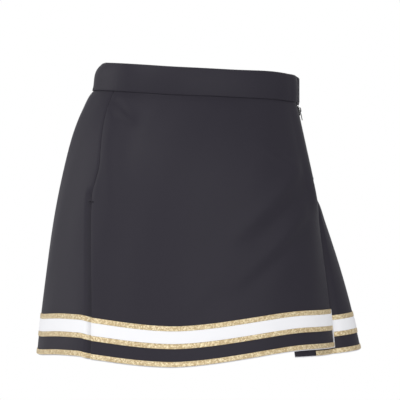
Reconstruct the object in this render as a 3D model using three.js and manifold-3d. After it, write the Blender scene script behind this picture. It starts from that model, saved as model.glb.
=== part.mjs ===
// Cheerleading skirt: a knit A-line skirt with a folded waistband, a side zip under a
// snap-closed lap, a pleat at each side-front seam and braid round the hem.
// Millimetres, +Z up. The front faces -Y and the zip is on +X (the wearer's left).
// The origin is the middle of the waist opening, level with the waist seam.
// A place on the cloth is given by an angle (0 = front, positive toward +X) and a depth v
// below the waist seam; n is the distance outward from the face of the cloth.
import * as THREE from "three";
import Module from "manifold-3d";

// ---- driving sizes ------------------------------------------------------------------
const WAIST_HALF_WIDTH = 140;
const WAIST_HALF_DEPTH = 95;
const SKIRT_LENGTH = 346; // waist seam to hem
const BAND_HEIGHT = 36;
const HIP_EASE = 38; // growth of the half width over the hips
const HIP_DROP = 115; // depth over which that growth happens
const FLARE = 0.08; // steady growth for each millimetre down
const SQUARENESS = 0.03;
const HIP_FORWARD = 6;
const WAIST_SHIFT = 12; // how far the waist sits toward the zip side
const WAIST_TILT = 3; // degrees, lower at the zip
const WAIST_DIP = 3; // lower at the middle of the front
const SEAM_ANGLE_TOP = 70.7; // side-front seams, degrees from the front
const SEAM_ANGLE_HEM = 55.8;
const LEFT_PLEAT_SWAY = 4.5; // degrees the closed pleat hangs further round

const CLOTH = 1.0; // thickness of the knit
const GAP = 0.3; // clear space between neighbouring pieces
const TRIM = 0.6; // thickness of the braid
const FACING = 0.5;

const PLEAT_TOP = 135; // depth where the pleats open
const PLEAT_DEPTH = 85;
const PLEAT_TRIM_UNDER = 50; // braid carried on under the front flap
const PLEAT_KICK = 38; // how far the zip-side underlay stands out at the hem

const GOLD_WIDTH = 6.35;
const WHITE_WIDTH = 15.9;
const TRIM_SPACE = 15.9; // plain cloth between the two groups of braid
const FACING_SHOW = 1.2; // white facing seen past the edge of the cloth

const ZIP_LENGTH = 106;
const ZIP_WINDOW = 5; // half width of the opening the zip shows in
const ZIP_TAPE = 12;
const TEETH_GAP = 0.8; // half of the space between the two rows
const TEETH_WIDTH = 1.9;
const SLIDER_LENGTH = 11;
const SLIDER_HALF_WIDTH = 3.9;
const PULL_LENGTH = 14;

const LAP_SEWN = -10; // where the closure tab is sewn on, measured from the zip line
const LAP_END = 30;
const SNAP_RADIUS = 5;
const SNAP_OFFSET = 17;

const LOOP_ANGLE = 108;
const LOOP_LENGTH = 80;
const LOOP_WIDTH = 6;
const LOOP_BULGE = 9; // clear width inside the hanger loop
const CARE_LABEL = [30, 52];
const SIZE_LABEL = [18, 14];

const FRONT_COLUMNS = 24;
const BACK_COLUMNS = 26;

// ---- small helpers ------------------------------------------------------------------
const rad = THREE.MathUtils.degToRad;
const vec = (x, y, z) => new THREE.Vector3(x, y, z);
const smooth = (a, b, x) => {
  const t = Math.min(1, Math.max(0, (x - a) / (b - a)));
  return t * t * (3 - 2 * t);
};
const wrap = (a) => Math.atan2(Math.sin(a), Math.cos(a));

const group = new THREE.Group();
group.name = "cheer_skirt";

const MATERIALS = {
  knit: { color: 0x38353c, roughness: 0.85 },
  gold: { color: 0xd8bf93, roughness: 0.35, metalness: 0.6 },
  white: { color: 0xf4f3f6, roughness: 0.7 },
  elastic: { color: 0xe6e4e0, roughness: 0.8 },
  ribbon: { color: 0x242228, roughness: 0.5 },
  tape: { color: 0x1f1e22, roughness: 0.8 },
  coil: { color: 0x2b2a2e, roughness: 0.4 },
  metal: { color: 0x8d8e92, roughness: 0.3, metalness: 1 },
};

// Make a mesh of one closed body and turn it to face outward.
function addBody(name, kind, points, faces) {
  let volume = 0;
  for (const [a, b, c] of faces) {
    volume += points[a].dot(points[b].clone().cross(points[c]));
  }
  const geometry = new THREE.BufferGeometry();
  geometry.setAttribute("position", new THREE.BufferAttribute(
    new Float32Array(points.flatMap((p) => [p.x, p.y, p.z])), 3));
  geometry.setIndex(faces.flatMap(([a, b, c]) => (volume < 0 ? [a, c, b] : [a, b, c])));
  return addGeometry(name, kind, geometry);
}

function addGeometry(name, kind, geometry) {
  const flat = geometry.index ? geometry.toNonIndexed() : geometry;
  flat.computeVertexNormals();
  const mesh = new THREE.Mesh(flat, new THREE.MeshStandardMaterial(MATERIALS[kind]));
  mesh.name = name;
  group.add(mesh);
  return mesh;
}

// ---- the shape of the cloth ---------------------------------------------------------
const seamAngle = (side, v) => {
  const t = 1 - Math.max(0, v) / SKIRT_LENGTH;
  const sway = side > 0 ? 0 : LEFT_PLEAT_SWAY * smooth(PLEAT_TOP - 45, PLEAT_TOP + 5, v)
    * (1 - 0.6 * smooth(PLEAT_TOP, SKIRT_LENGTH, v));
  return rad(SEAM_ANGLE_HEM + (SEAM_ANGLE_TOP - SEAM_ANGLE_HEM) * t * t + sway);
};

// How far the hem of each panel is lifted from level, by angle in degrees.
// The back dips a little where it meets the closed pleat.
const frontLift = (deg) => 18 * smooth(-24, 32, deg) + 10 * smooth(-20, -66, deg);
const backLift = (deg) => 9 + (deg > 0 ? 0 : 3.5 * smooth(-35, -55, deg)
  * (1 - smooth(-75, -105, deg)) - 2.5 * Math.exp(-(((deg + 59) / 3.5) ** 2)));

// The free surface, before the zip is let in. A lifted hem slides up along it.
function bodySurface(angle, v, back) {
  const deg = THREE.MathUtils.radToDeg(wrap(angle));
  const lift = (back ? backLift(deg) : frontLift(deg)) * smooth(60, SKIRT_LENGTH - 60, v);
  const down = Math.max(0, v) - lift;
  const growth = HIP_EASE * (1 - Math.exp(-down / HIP_DROP)) + FLARE * down;
  const a = WAIST_HALF_WIDTH + growth;
  const b = WAIST_HALF_DEPTH + growth;
  const x = a * (Math.sin(angle) + SQUARENESS * Math.sin(3 * angle))
    + WAIST_SHIFT * (Math.exp(-down / 28) - 1);
  const y = -b * (Math.cos(angle) - SQUARENESS * Math.cos(3 * angle))
    - HIP_FORWARD * Math.exp(-(((down - 90) / 70) ** 2));
  const fade = 1 - down / SKIRT_LENGTH;
  const tilt = Math.tan(rad(WAIST_TILT)) * (x * Math.sin(rad(68)) - y * Math.cos(rad(68)));
  const dip = WAIST_DIP * Math.max(0, Math.cos(angle));
  return vec(x, y, -v - (tilt + dip) * fade + lift);
}

// Arc length for each radian at the seam, to turn a distance into an angle.
const seamRadius = (side, v) => bodySurface(side * (seamAngle(side, v) + 0.02), v, false)
  .distanceTo(bodySurface(side * (seamAngle(side, v) - 0.02), v, false)) / 0.04;
const angleAt = (side, v, across) => side
  * (seamAngle(side, v) + across / seamRadius(side, v));

// The zip lies on a straight strip, so that its slider can run.
const STRIP_DEPTH = ZIP_LENGTH + 12;
const stripTop = bodySurface(seamAngle(1, 0), 0, false);
const stripDown = bodySurface(seamAngle(1, STRIP_DEPTH), STRIP_DEPTH, false)
  .sub(stripTop);
const STRIP_SCALE = stripDown.length() / STRIP_DEPTH;
stripDown.normalize();
const stripAcross = bodySurface(seamAngle(1, 55) + 0.02, 55, false)
  .sub(bodySurface(seamAngle(1, 55) - 0.02, 55, false));
const stripLevel = stripAcross.clone().normalize();
stripAcross.addScaledVector(stripDown, -stripAcross.dot(stripDown)).normalize();
const stripOut = stripDown.clone().cross(stripAcross).normalize();

function surface(angle, v, back) {
  const down = Math.max(0, v);
  const point = bodySurface(angle, down, back);
  const across = (wrap(angle) - seamAngle(1, down)) * seamRadius(1, down);
  const flat = across > 0 ? SNAP_OFFSET + SNAP_RADIUS + 1 : ZIP_TAPE + 1;
  const weight = (1 - smooth(flat, flat + 32, Math.abs(across)))
    * (1 - smooth(STRIP_DEPTH, STRIP_DEPTH + 50, down));
  if (weight > 0) {
    const strip = stripTop.clone().addScaledVector(stripDown, down * STRIP_SCALE)
      .addScaledVector(stripLevel, across);
    point.lerp(strip, weight);
  }
  point.z -= Math.min(0, v);
  return point;
}

function normalOf(shape, angle, v) {
  const across = shape(angle + 0.004, v).sub(shape(angle - 0.004, v));
  const down = shape(angle, v + 0.8).sub(shape(angle, v - 0.8));
  return down.cross(across).normalize();
}

const frontShape = (angle, v) => surface(angle, v, false);

// The back panel runs in under the front flap below the top of each pleat, and on the
// zip side its underlay stands out.
const UNDER_STEP = CLOTH + GAP + FACING + GAP + CLOTH + GAP + TRIM + GAP;
function backOffset(angle, v) {
  const side = Math.sign(wrap(angle)) || 1;
  const across = (Math.abs(wrap(angle)) - seamAngle(side, v)) * seamRadius(side, v);
  const step = -UNDER_STEP * smooth(PLEAT_TOP - 12, PLEAT_TOP + 8, v)
    * (1 - smooth(1, 12, across));
  const below = Math.max(0, v - PLEAT_TOP) / (SKIRT_LENGTH - PLEAT_TOP);
  const reach = Math.min(1, Math.max(0, across / 60));
  const kick = side > 0 ? PLEAT_KICK * below ** 0.62 * Math.sin((Math.PI * reach) / 2)
    * (1 - smooth(60, 190, across)) : 0;
  return step + kick;
}
const backShape = (angle, v) => surface(angle, v, true).addScaledVector(
  normalOf((p, q) => surface(p, q, true), angle, v), backOffset(angle, v));

const lifted = (shape) => (angle, v, n) => shape(angle, v)
  .addScaledVector(normalOf(shape, angle, v), n);
const frontPoint = lifted(frontShape);
const backPoint = lifted(backShape);

// ---- shells and sweeps --------------------------------------------------------------
// A closed shell over a grid; rows and columns are indices into place(i, j, side).
function gridShell(name, kind, rows, columns, place, present = () => true) {
  const points = [];
  const seen = new Map();
  const at = (i, j, side) => {
    const key = `${i},${j},${side}`;
    if (!seen.has(key)) {
      seen.set(key, points.length);
      points.push(place(i, j, side));
    }
    return seen.get(key);
  };
  const faces = [];
  const quad = (a, b, c, d) => faces.push([a, b, c], [a, c, d]);
  const cell = (i, j) => i >= 0 && j >= 0 && i < rows - 1 && j < columns - 1 && present(i, j);
  for (let i = 0; i < rows - 1; i += 1) {
    for (let j = 0; j < columns - 1; j += 1) {
      if (!cell(i, j)) continue;
      quad(at(i, j, 0), at(i + 1, j, 0), at(i + 1, j + 1, 0), at(i, j + 1, 0));
      quad(at(i, j, 1), at(i, j + 1, 1), at(i + 1, j + 1, 1), at(i + 1, j, 1));
      const edges = [[i, j, i, j + 1, i - 1, j], [i + 1, j + 1, i + 1, j, i + 1, j],
        [i + 1, j, i, j, i, j - 1], [i, j + 1, i + 1, j + 1, i, j + 1]];
      for (const [a, b, c, d, e, f] of edges) {
        if (!cell(e, f)) quad(at(a, b, 0), at(c, d, 0), at(c, d, 1), at(a, b, 1));
      }
    }
  }
  return addBody(name, kind, points, faces);
}

// A closed profile of 2-D points carried along stations, with flat ends.
function sweepBody(profile, stations, place) {
  const points = [];
  for (let j = 0; j < stations; j += 1) profile.forEach((p) => points.push(place(j, p)));
  const faces = [];
  const m = profile.length;
  for (let j = 0; j < stations - 1; j += 1) {
    for (let k = 0; k < m; k += 1) {
      const a = j * m + k;
      const b = j * m + ((k + 1) % m);
      faces.push([a, b, b + m], [a, b + m, a + m]);
    }
  }
  const outline = profile.map((p) => new THREE.Vector2(p[0], p[1]));
  const last = (stations - 1) * m;
  const ccw = !THREE.ShapeUtils.isClockWise(outline);
  for (const [a, b, c] of THREE.ShapeUtils.triangulateShape(outline, [])) {
    faces.push(ccw ? [a, c, b] : [a, b, c]);
    faces.push(ccw ? [last + a, last + b, last + c] : [last + a, last + c, last + b]);
  }
  return { points, faces };
}

const sweep = (name, kind, profile, stations, place) => {
  const body = sweepBody(profile, stations, place);
  return addBody(name, kind, body.points, body.faces);
};

const range = (count, from, to) => Array.from({ length: count },
  (_, i) => from + ((to - from) * i) / (count - 1));

// ---- where the columns of each panel run --------------------------------------------
// The zip holds the two panels apart; everywhere else their edges nearly touch.
const edgeGap = (side, v) => (side > 0
  ? GAP / 2 + (ZIP_WINDOW - GAP / 2) * (1 - smooth(ZIP_LENGTH, ZIP_LENGTH + 7, v)) : GAP / 2);

function frontAngle(t, v, beyond = 0) {
  const from = angleAt(-1, v, -edgeGap(-1, v));
  const to = angleAt(1, v, beyond - edgeGap(1, v));
  return from + (to - from) * t;
}

// Back columns: first those carried under the flap, then the panel itself, closely
// spaced beside each seam.
const BETWEEN = [0.65, 0.3].map((share) => -PLEAT_TRIM_UNDER * share);
const UNDER_COLUMNS = [-PLEAT_DEPTH, -(PLEAT_DEPTH + PLEAT_TRIM_UNDER) / 2,
  -PLEAT_TRIM_UNDER, ...BETWEEN];
const EDGE_COLUMNS = [0, 3, 6.5, 10, 14, 26, 44];
const BACK_TOTAL = 2 * (UNDER_COLUMNS.length + EDGE_COLUMNS.length) + BACK_COLUMNS;
function backAngle(j, v) {
  const under = UNDER_COLUMNS.length;
  const edge = EDGE_COLUMNS.length;
  const near = (side, k) => (k < under ? angleAt(side, v, UNDER_COLUMNS[k])
    : angleAt(side, v, edgeGap(side, v) + EDGE_COLUMNS[k - under]));
  if (j < under + edge) return near(1, j);
  const mirrored = BACK_TOTAL - 1 - j;
  if (mirrored < under + edge) return 2 * Math.PI + near(-1, mirrored);
  const from = near(1, under + edge - 1);
  const to = 2 * Math.PI + near(-1, under + edge - 1);
  return from + ((to - from) * (j - under - edge + 1)) / (BACK_COLUMNS + 1);
}
const FIRST_BACK = UNDER_COLUMNS.length; // first column that is not under the flap
const LAST_BACK = BACK_TOTAL - 1 - FIRST_BACK;

// ---- panels -------------------------------------------------------------------------
const SEAM_ALLOWANCE = 8; // cloth taken up into the waistband
const UNDER_TOP = PLEAT_TOP + 8;
const HEM_ROW = SKIRT_LENGTH - 52;
const between = (from, to, shares) => shares.map((share) => from + (to - from) * share);
const PANEL_ROWS = [-SEAM_ALLOWANCE, ...between(0, ZIP_LENGTH, [0, 0.11, 0.28, 0.49, 0.74, 1]),
  ZIP_LENGTH + 7, PLEAT_TOP - 12, PLEAT_TOP,
  ...between(UNDER_TOP, HEM_ROW, [0, 0.15, 0.34, 0.54, 0.74, 1]),
  (HEM_ROW + SKIRT_LENGTH) / 2, SKIRT_LENGTH];

gridShell("front_panel", "knit", PANEL_ROWS.length, FRONT_COLUMNS + 1, (i, j, side) => {
  const v = PANEL_ROWS[i];
  return frontPoint(frontAngle(j / FRONT_COLUMNS, v), v, side ? -CLOTH : 0);
});

gridShell("back_panel", "knit", PANEL_ROWS.length, BACK_TOTAL, (i, j, side) => {
  const v = PANEL_ROWS[i];
  return backPoint(backAngle(j, v), v, side ? -CLOTH : 0);
}, (i, j) => (j >= FIRST_BACK && j < LAST_BACK) || PANEL_ROWS[i] >= UNDER_TOP);

// The return of each pleat: from the flap's edge in to the fold.
const INSERT_TOP = -(CLOTH + GAP + FACING + GAP);
const INSERT_ROWS = [UNDER_TOP + 2, ...PANEL_ROWS.filter((v) => v > UNDER_TOP + 2
  && v < SKIRT_LENGTH), SKIRT_LENGTH - 1.5];
for (const [name, side] of [["right", 1], ["left", -1]]) {
  const across = [-PLEAT_DEPTH, -PLEAT_DEPTH + 3, ...UNDER_COLUMNS.slice(1), -1.5];
  gridShell(`pleat_insert_${name}`, "knit", INSERT_ROWS.length, across.length,
    (i, j, inner) => {
      const v = INSERT_ROWS[i];
      const deep = j < 2 ? UNDER_STEP - GAP : -INSERT_TOP + CLOTH;
      return frontPoint(angleAt(side, v, across[j]), v, inner ? -deep : INSERT_TOP);
    });
}

// ---- braid and facing ---------------------------------------------------------------
const BRAID = [
  ["gold_upper", "gold", 2 * GOLD_WIDTH + WHITE_WIDTH + TRIM_SPACE + GOLD_WIDTH, GOLD_WIDTH],
  ["white", "white", 2 * GOLD_WIDTH + WHITE_WIDTH + TRIM_SPACE, WHITE_WIDTH],
  ["gold_middle", "gold", 2 * GOLD_WIDTH + TRIM_SPACE, GOLD_WIDTH],
  ["gold_hem", "gold", GOLD_WIDTH, GOLD_WIDTH],
];
const shortened = (top, height) => [SKIRT_LENGTH - top + GAP / 2,
  SKIRT_LENGTH - top + height - GAP / 2];
const UNDER_START = UNDER_COLUMNS.indexOf(-PLEAT_TRIM_UNDER);

for (const [name, kind, top, height] of BRAID) {
  const rows = shortened(top, height);
  gridShell(`trim_${name}_front`, kind, 2, FRONT_COLUMNS + 1, (i, j, inner) => frontPoint(
    frontAngle(j / FRONT_COLUMNS, rows[i]), rows[i], inner ? GAP : GAP + TRIM));
  gridShell(`trim_${name}_back`, kind, 2, BACK_TOTAL - 2 * UNDER_START, (i, j, inner) => (
    backPoint(backAngle(j + UNDER_START, rows[i]), rows[i], inner ? GAP : GAP + TRIM)));
}

const FACING_HEIGHT = 50;
const facingRows = [SKIRT_LENGTH - FACING_HEIGHT, SKIRT_LENGTH - 26,
  SKIRT_LENGTH + FACING_SHOW];
const facingN = (inner) => (inner ? -CLOTH - GAP - FACING : -CLOTH - GAP);
gridShell("hem_facing_front", "white", facingRows.length, FRONT_COLUMNS + 1,
  (i, j, inner) => frontPoint(frontAngle(j / FRONT_COLUMNS, facingRows[i],
    FACING_SHOW), facingRows[i], facingN(inner)));
gridShell("hem_facing_back", "white", facingRows.length, BACK_TOTAL,
  (i, j, inner) => backPoint(backAngle(j, facingRows[i]), facingRows[i], facingN(inner)));

// ---- waistband ----------------------------------------------------------------------
// Folded over the top: an outer leg, an inner leg and between them the top of the panel
// with a stiffener (front) or an elastic (back) above it.
const BAND_OUT = GAP + CLOTH;
const BAND_IN = -CLOTH - GAP - CLOTH;
const bandProfile = [
  [GAP, 0], [BAND_OUT, 0], [BAND_OUT, -BAND_HEIGHT + 1.6],
  [BAND_OUT - 0.9, -BAND_HEIGHT + 0.3], [0, -BAND_HEIGHT], [-1, -BAND_HEIGHT],
  [BAND_IN + 0.9, -BAND_HEIGHT + 0.3], [BAND_IN, -BAND_HEIGHT + 1.6], [BAND_IN, 0],
  [BAND_IN + CLOTH, 0], [BAND_IN + CLOTH, -BAND_HEIGHT + 1.6], [GAP, -BAND_HEIGHT + 1.6],
];
const BAND_END = 3; // the band stops this far each side of the zip line
const bandFrontAngle = (t) => {
  const from = angleAt(-1, 0, -GAP / 2);
  const to = angleAt(1, 0, -BAND_END);
  return from + (to - from) * t;
};
const backAtBand = (j) => (j === FIRST_BACK ? angleAt(1, 0, BAND_END)
  : backAngle(j, 0));
sweep("waistband_front", "knit", bandProfile, FRONT_COLUMNS + 1,
  (j, [n, v]) => frontPoint(bandFrontAngle(j / FRONT_COLUMNS), v, n));
sweep("waistband_back", "knit", bandProfile, LAST_BACK - FIRST_BACK + 1,
  (j, [n, v]) => frontPoint(backAtBand(j + FIRST_BACK), v, n));

const CORE_ROWS = [-BAND_HEIGHT + 2, -SEAM_ALLOWANCE - GAP];
gridShell("waistband_interfacing_front", "white", 2, FRONT_COLUMNS + 1,
  (i, j, inner) => frontPoint(bandFrontAngle(j / FRONT_COLUMNS), CORE_ROWS[i],
    inner ? -CLOTH : 0));
gridShell("waist_elastic_back", "elastic", 2, LAST_BACK - FIRST_BACK + 1,
  (i, j, inner) => frontPoint(backAtBand(j + FIRST_BACK), CORE_ROWS[i],
    inner ? -CLOTH : 0));

// ---- closure tab and press studs ----------------------------------------------------
const STUD_BASE = BAND_OUT + GAP;
const STUD_TOP = STUD_BASE + 0.8;
const SOCKET_TOP = STUD_TOP + GAP + 0.8;
const TAB_OVER = SOCKET_TOP + GAP;
const tabColumns = [LAP_SEWN, -5, 0, 6, 12, 18, 24, LAP_END];
const tabLift = (across) => STUD_BASE + (TAB_OVER - STUD_BASE) * smooth(-9, 9, across);
const tabRows = [-BAND_HEIGHT + 1, -1];
gridShell("closure_tab", "knit", 2, tabColumns.length, (i, j, inner) => frontPoint(
  angleAt(1, 0, tabColumns[j]), tabRows[i], tabLift(tabColumns[j]) + (inner ? 0 : CLOTH)));

const SNAP_DEPTHS = [["upper", -BAND_HEIGHT + 9], ["lower", -9]];
// A turned body: an outline of [radius, height] pairs spun round, closed on itself or
// capped where it starts and ends.
function turnedBody(name, kind, place, outline, closed) {
  const steps = 20;
  const count = outline.length;
  const points = [];
  const faces = [];
  for (const [r, n] of outline) {
    for (let k = 0; k < steps; k += 1) {
      const a = (2 * Math.PI * k) / steps;
      points.push(place(r * Math.cos(a), r * Math.sin(a), n));
    }
  }
  for (let ring = 0; ring < (closed ? count : count - 1); ring += 1) {
    const low = ring * steps;
    const high = ((ring + 1) % count) * steps;
    for (let k = 0; k < steps; k += 1) {
      const next = (k + 1) % steps;
      faces.push([low + k, low + next, high + next], [low + k, high + next, high + k]);
    }
  }
  if (!closed) {
    const start = points.push(place(0, 0, outline[0][1])) - 1;
    const end = points.push(place(0, 0, outline[count - 1][1])) - 1;
    for (let k = 0; k < steps; k += 1) {
      const next = (k + 1) % steps;
      const last = (count - 1) * steps;
      faces.push([start, next, k], [end, last + k, last + next]);
    }
  }
  return addBody(name, kind, points, faces);
}

for (const [name, v] of SNAP_DEPTHS) {
  const angle = angleAt(1, 0, SNAP_OFFSET);
  const centre = frontPoint(angle, v, 0);
  const out = normalOf(frontShape, angle, -18);
  const up = vec(0, 0, 1).addScaledVector(out, -out.z).normalize();
  const across = up.clone().cross(out);
  const place = (p, q, n) => centre.clone().addScaledVector(across, p)
    .addScaledVector(up, q).addScaledVector(out, n);
  turnedBody(`snap_stud_${name}`, "metal", place, [[SNAP_RADIUS, STUD_BASE + 0.05],
    [SNAP_RADIUS, STUD_TOP], [1.5, STUD_TOP], [1.3, STUD_TOP + 0.8]], false);
  turnedBody(`snap_socket_${name}`, "metal", place, [[2.1, STUD_TOP + GAP],
    [SNAP_RADIUS, STUD_TOP + GAP], [SNAP_RADIUS, SOCKET_TOP - 0.05],
    [2.1, SOCKET_TOP - 0.05]], true);
}

// ---- zip ----------------------------------------------------------------------------
// In the strip's own frame: across, along (downward from the waist seam) and out.
const stripPoint = (across, along, n) => stripTop.clone()
  .addScaledVector(stripAcross, across).addScaledVector(stripDown, along)
  .addScaledVector(stripOut, n);
const box = (name, kind, [a0, a1], [d0, d1], [n0, n1]) => sweep(name, kind,
  [[a0, n0], [a1, n0], [a1, n1], [a0, n1]], 2,
  (j, [a, n]) => stripPoint(a, j ? d1 : d0, n));

const TAPE_TOP = -CLOTH - GAP;
const TAPE_BOTTOM = TAPE_TOP - 0.6;
const TEETH_BOTTOM = TAPE_TOP + GAP;
const TEETH_TOP = TEETH_BOTTOM + 1.8;
const SLIDER_START = 6.5;
const TEETH_START = SLIDER_START + 1;
const STOP_START = ZIP_LENGTH - 2;
for (const [name, side] of [["front", -1], ["back", 1]]) {
  const mirror = (a, b) => (side < 0 ? [-b, -a] : [a, b]);
  box(`zip_tape_${name}`, "tape", mirror(TEETH_GAP, ZIP_TAPE), [3.5, ZIP_LENGTH + 6],
    [TAPE_BOTTOM, TAPE_TOP]);
  box(`zip_teeth_${name}`, "coil", mirror(TEETH_GAP, TEETH_GAP + TEETH_WIDTH),
    [TEETH_START, STOP_START - GAP], [TEETH_BOTTOM, TEETH_TOP]);
  box(`zip_top_stop_${name}`, "metal", mirror(TEETH_GAP, TEETH_GAP + TEETH_WIDTH + 0.4),
    [SLIDER_START - 3.6, SLIDER_START - 0.6], [TEETH_BOTTOM, TEETH_TOP]);
}
box("zip_bottom_stop", "metal", [-2.8, 2.8], [STOP_START, STOP_START + 2.5],
  [TEETH_BOTTOM, TEETH_TOP]);

const PLATE_LOW = TEETH_TOP + GAP;
const PLATE_HIGH = PLATE_LOW + 0.9;
const UNDER_HIGH = TAPE_BOTTOM - GAP;
const UNDER_LOW = UNDER_HIGH - 0.9;
const WEB = 0.5;
const FLANGE_IN = TEETH_GAP + TEETH_WIDTH + 0.4;
const sliderHalf = [
  [SLIDER_HALF_WIDTH, UNDER_LOW], [SLIDER_HALF_WIDTH, UNDER_HIGH], [WEB, UNDER_HIGH],
  [WEB, PLATE_LOW], [FLANGE_IN, PLATE_LOW], [FLANGE_IN, TEETH_BOTTOM + 0.1],
  [SLIDER_HALF_WIDTH, TEETH_BOTTOM + 0.1], [SLIDER_HALF_WIDTH, PLATE_HIGH],
];
const sliderSection = [...sliderHalf,
  ...sliderHalf.map(([across, n]) => [-across, n]).reverse()];
const CROWN_MID = SLIDER_START + 4.5;
const CROWN_RISE = 2.5;
const crownSection = [
  [-3.1, -0.2], [-2.2, -0.2], [-2.2, 1.0], [-1.6, 1.6], [1.6, 1.6], [2.2, 1.0],
  [2.2, -0.2], [3.1, -0.2], [3.1, 1.4], [2.2, CROWN_RISE], [-2.2, CROWN_RISE],
  [-3.1, 1.4],
];

const wasm = await Module();
wasm.setup();
function toManifold({ points, faces }) {
  let volume = 0;
  for (const [a, b, c] of faces) volume += points[a].dot(points[b].clone().cross(points[c]));
  return new wasm.Manifold(new wasm.Mesh({
    numProp: 3,
    vertProperties: new Float32Array(points.flatMap((p) => [p.x, p.y, p.z])),
    triVerts: new Uint32Array(faces.flatMap(([a, b, c]) => (
      volume < 0 ? [a, c, b] : [a, b, c]))),
  }));
}
function addManifold(name, kind, solid) {
  const mesh = solid.getMesh();
  const geometry = new THREE.BufferGeometry();
  geometry.setAttribute("position",
    new THREE.BufferAttribute(Float32Array.from(mesh.vertProperties), 3));
  geometry.setIndex(Array.from(mesh.triVerts));
  return addGeometry(name, kind, geometry);
}

const sliderCore = toManifold(sweepBody(sliderSection, 2, (j, [a, n]) => (
  stripPoint(a, SLIDER_START + j * SLIDER_LENGTH, n))));
const crown = toManifold(sweepBody(crownSection, 2, (j, [d, n]) => (
  stripPoint(j ? 0.75 : -0.75, CROWN_MID + d, PLATE_HIGH + n))));
addManifold("zip_slider_body", "metal", sliderCore.add(crown));

// The pull hangs by a bar under the crown, its plate clear of it all the way round.
const BAR_N = PLATE_HIGH + 0.85;
const BAR_HALF = 0.5;
const PULL_START = 4.6;
const pullPlate = (a0, a1, d0, d1) => toManifold(sweepBody(
  [[a0, -BAR_HALF], [a1, -BAR_HALF], [a1, BAR_HALF], [a0, BAR_HALF]], 2,
  (j, [a, n]) => stripPoint(a, CROWN_MID + (j ? d1 : d0), BAR_N + n)));
let pull = pullPlate(-2.6, 2.6, -BAR_HALF, BAR_HALF);
for (const side of [-1, 1]) {
  pull = pull.add(pullPlate(Math.min(side * 1.4, side * 2.6), Math.max(side * 1.4, side * 2.6),
    -BAR_HALF, PULL_START + 0.5));
}
pull = pull.add(pullPlate(-2.6, 2.6, PULL_START, PULL_LENGTH));
addManifold("zip_pull_tab", "metal", pull);

// ---- inside: hanger loops and labels ------------------------------------------------
function insideFrame(deg, v, n) {
  const angle = rad(deg);
  const point = frontPoint(angle, v, n);
  const out = normalOf(frontShape, angle, -20);
  out.z = 0;
  out.normalize();
  const across = vec(0, 0, 1).cross(out);
  return (p, down, radial) => point.clone().addScaledVector(across, p)
    .addScaledVector(out, radial).add(vec(0, 0, -down));
}

// A ribbon folded into a long drop, hanging from the foot of the band.
const ribbon = 0.8;
for (const [name, deg] of [["left", -LOOP_ANGLE], ["right", LOOP_ANGLE]]) {
  const place = insideFrame(deg, -4, BAND_IN - GAP - 0.25);
  const outline = (grow) => {
    const half = LOOP_BULGE / 2 + grow;
    const bottom = LOOP_LENGTH - 5;
    const arc = range(7, 0, Math.PI).map((a) => [half * Math.cos(a), bottom + half * Math.sin(a)]);
    return [[grow ? ribbon + 0.1 : 0.1, grow ? -ribbon : 6], ...arc,
      [grow ? -ribbon - 0.1 : -0.1, grow ? -ribbon : 6]];
  };
  const outer = outline(ribbon);
  const inner = outline(0);
  const count = outer.length;
  const points = [];
  for (const p of [-LOOP_WIDTH / 2, LOOP_WIDTH / 2]) {
    for (const ring of [outer, inner]) {
      ring.forEach(([r, d]) => points.push(place(p, d, r - ribbon - 0.1)));
    }
  }
  const faces = [];
  const quad = (a, b, c, d) => faces.push([a, b, c], [a, c, d]);
  for (let k = 0; k < count; k += 1) {
    const n = (k + 1) % count;
    quad(k, n, count + n, count + k);
    quad(2 * count + k, 3 * count + k, 3 * count + n, 2 * count + n);
    quad(k, 2 * count + k, 2 * count + n, n);
    quad(count + k, count + n, 3 * count + n, 3 * count + k);
  }
  addBody(`hanger_loop_${name}`, "ribbon", points, faces);
}

// Labels follow the curve of the band; the care label then hangs straight down.
const bandRadius = (angle) => frontShape(angle + 0.02, 0)
  .distanceTo(frontShape(angle - 0.02, 0)) / 0.04;
function label(name, deg, [width, height], top, hangs) {
  const mid = rad(deg);
  const across = range(6, -width / 2, width / 2);
  gridShell(name, "white", 2, across.length, (i, j, inner) => {
    const angle = mid + across[j] / bandRadius(mid);
    const n = BAND_IN - GAP - (inner ? 0.4 : 0);
    const point = frontPoint(angle, hangs ? -5 : top + i * height, n);
    if (hangs) point.z = frontPoint(mid, top, n).z - i * height;
    return point;
  });
}
label("care_label", -140, CARE_LABEL, -5, true);
label("size_label", 180, SIZE_LABEL, -(BAND_HEIGHT + SIZE_LABEL[1]) / 2, false);

export default group;
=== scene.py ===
"""Looks of a black knit cheerleading skirt with gold and white hem braid.

Every piece hangs on one description of the cloth, SkirtShape, which gives a point for an
angle round the body (0 is the middle of the front, positive toward the zip), a depth below
the waist seam and a distance out from the face of the cloth. Sizes are in millimetres and
are turned into metres when a mesh is made.
"""
import logging
import math
from dataclasses import dataclass, field
from enum import Enum
from functools import cached_property, partial
from typing import Callable, Sequence

import bpy
import numpy as np
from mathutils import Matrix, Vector


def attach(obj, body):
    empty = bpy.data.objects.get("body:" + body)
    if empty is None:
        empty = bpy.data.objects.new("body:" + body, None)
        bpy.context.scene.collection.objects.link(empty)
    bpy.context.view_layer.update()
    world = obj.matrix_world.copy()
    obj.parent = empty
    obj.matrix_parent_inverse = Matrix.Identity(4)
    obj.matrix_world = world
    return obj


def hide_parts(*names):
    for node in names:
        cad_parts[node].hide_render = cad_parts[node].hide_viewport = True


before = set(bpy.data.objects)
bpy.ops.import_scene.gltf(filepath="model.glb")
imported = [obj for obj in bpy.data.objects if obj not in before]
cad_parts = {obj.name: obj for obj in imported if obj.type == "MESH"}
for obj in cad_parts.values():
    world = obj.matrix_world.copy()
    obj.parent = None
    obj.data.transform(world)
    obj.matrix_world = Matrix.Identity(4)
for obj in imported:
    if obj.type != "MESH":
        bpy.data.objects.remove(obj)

LOG = logging.getLogger("skirt")
MM = 0.001
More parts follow.
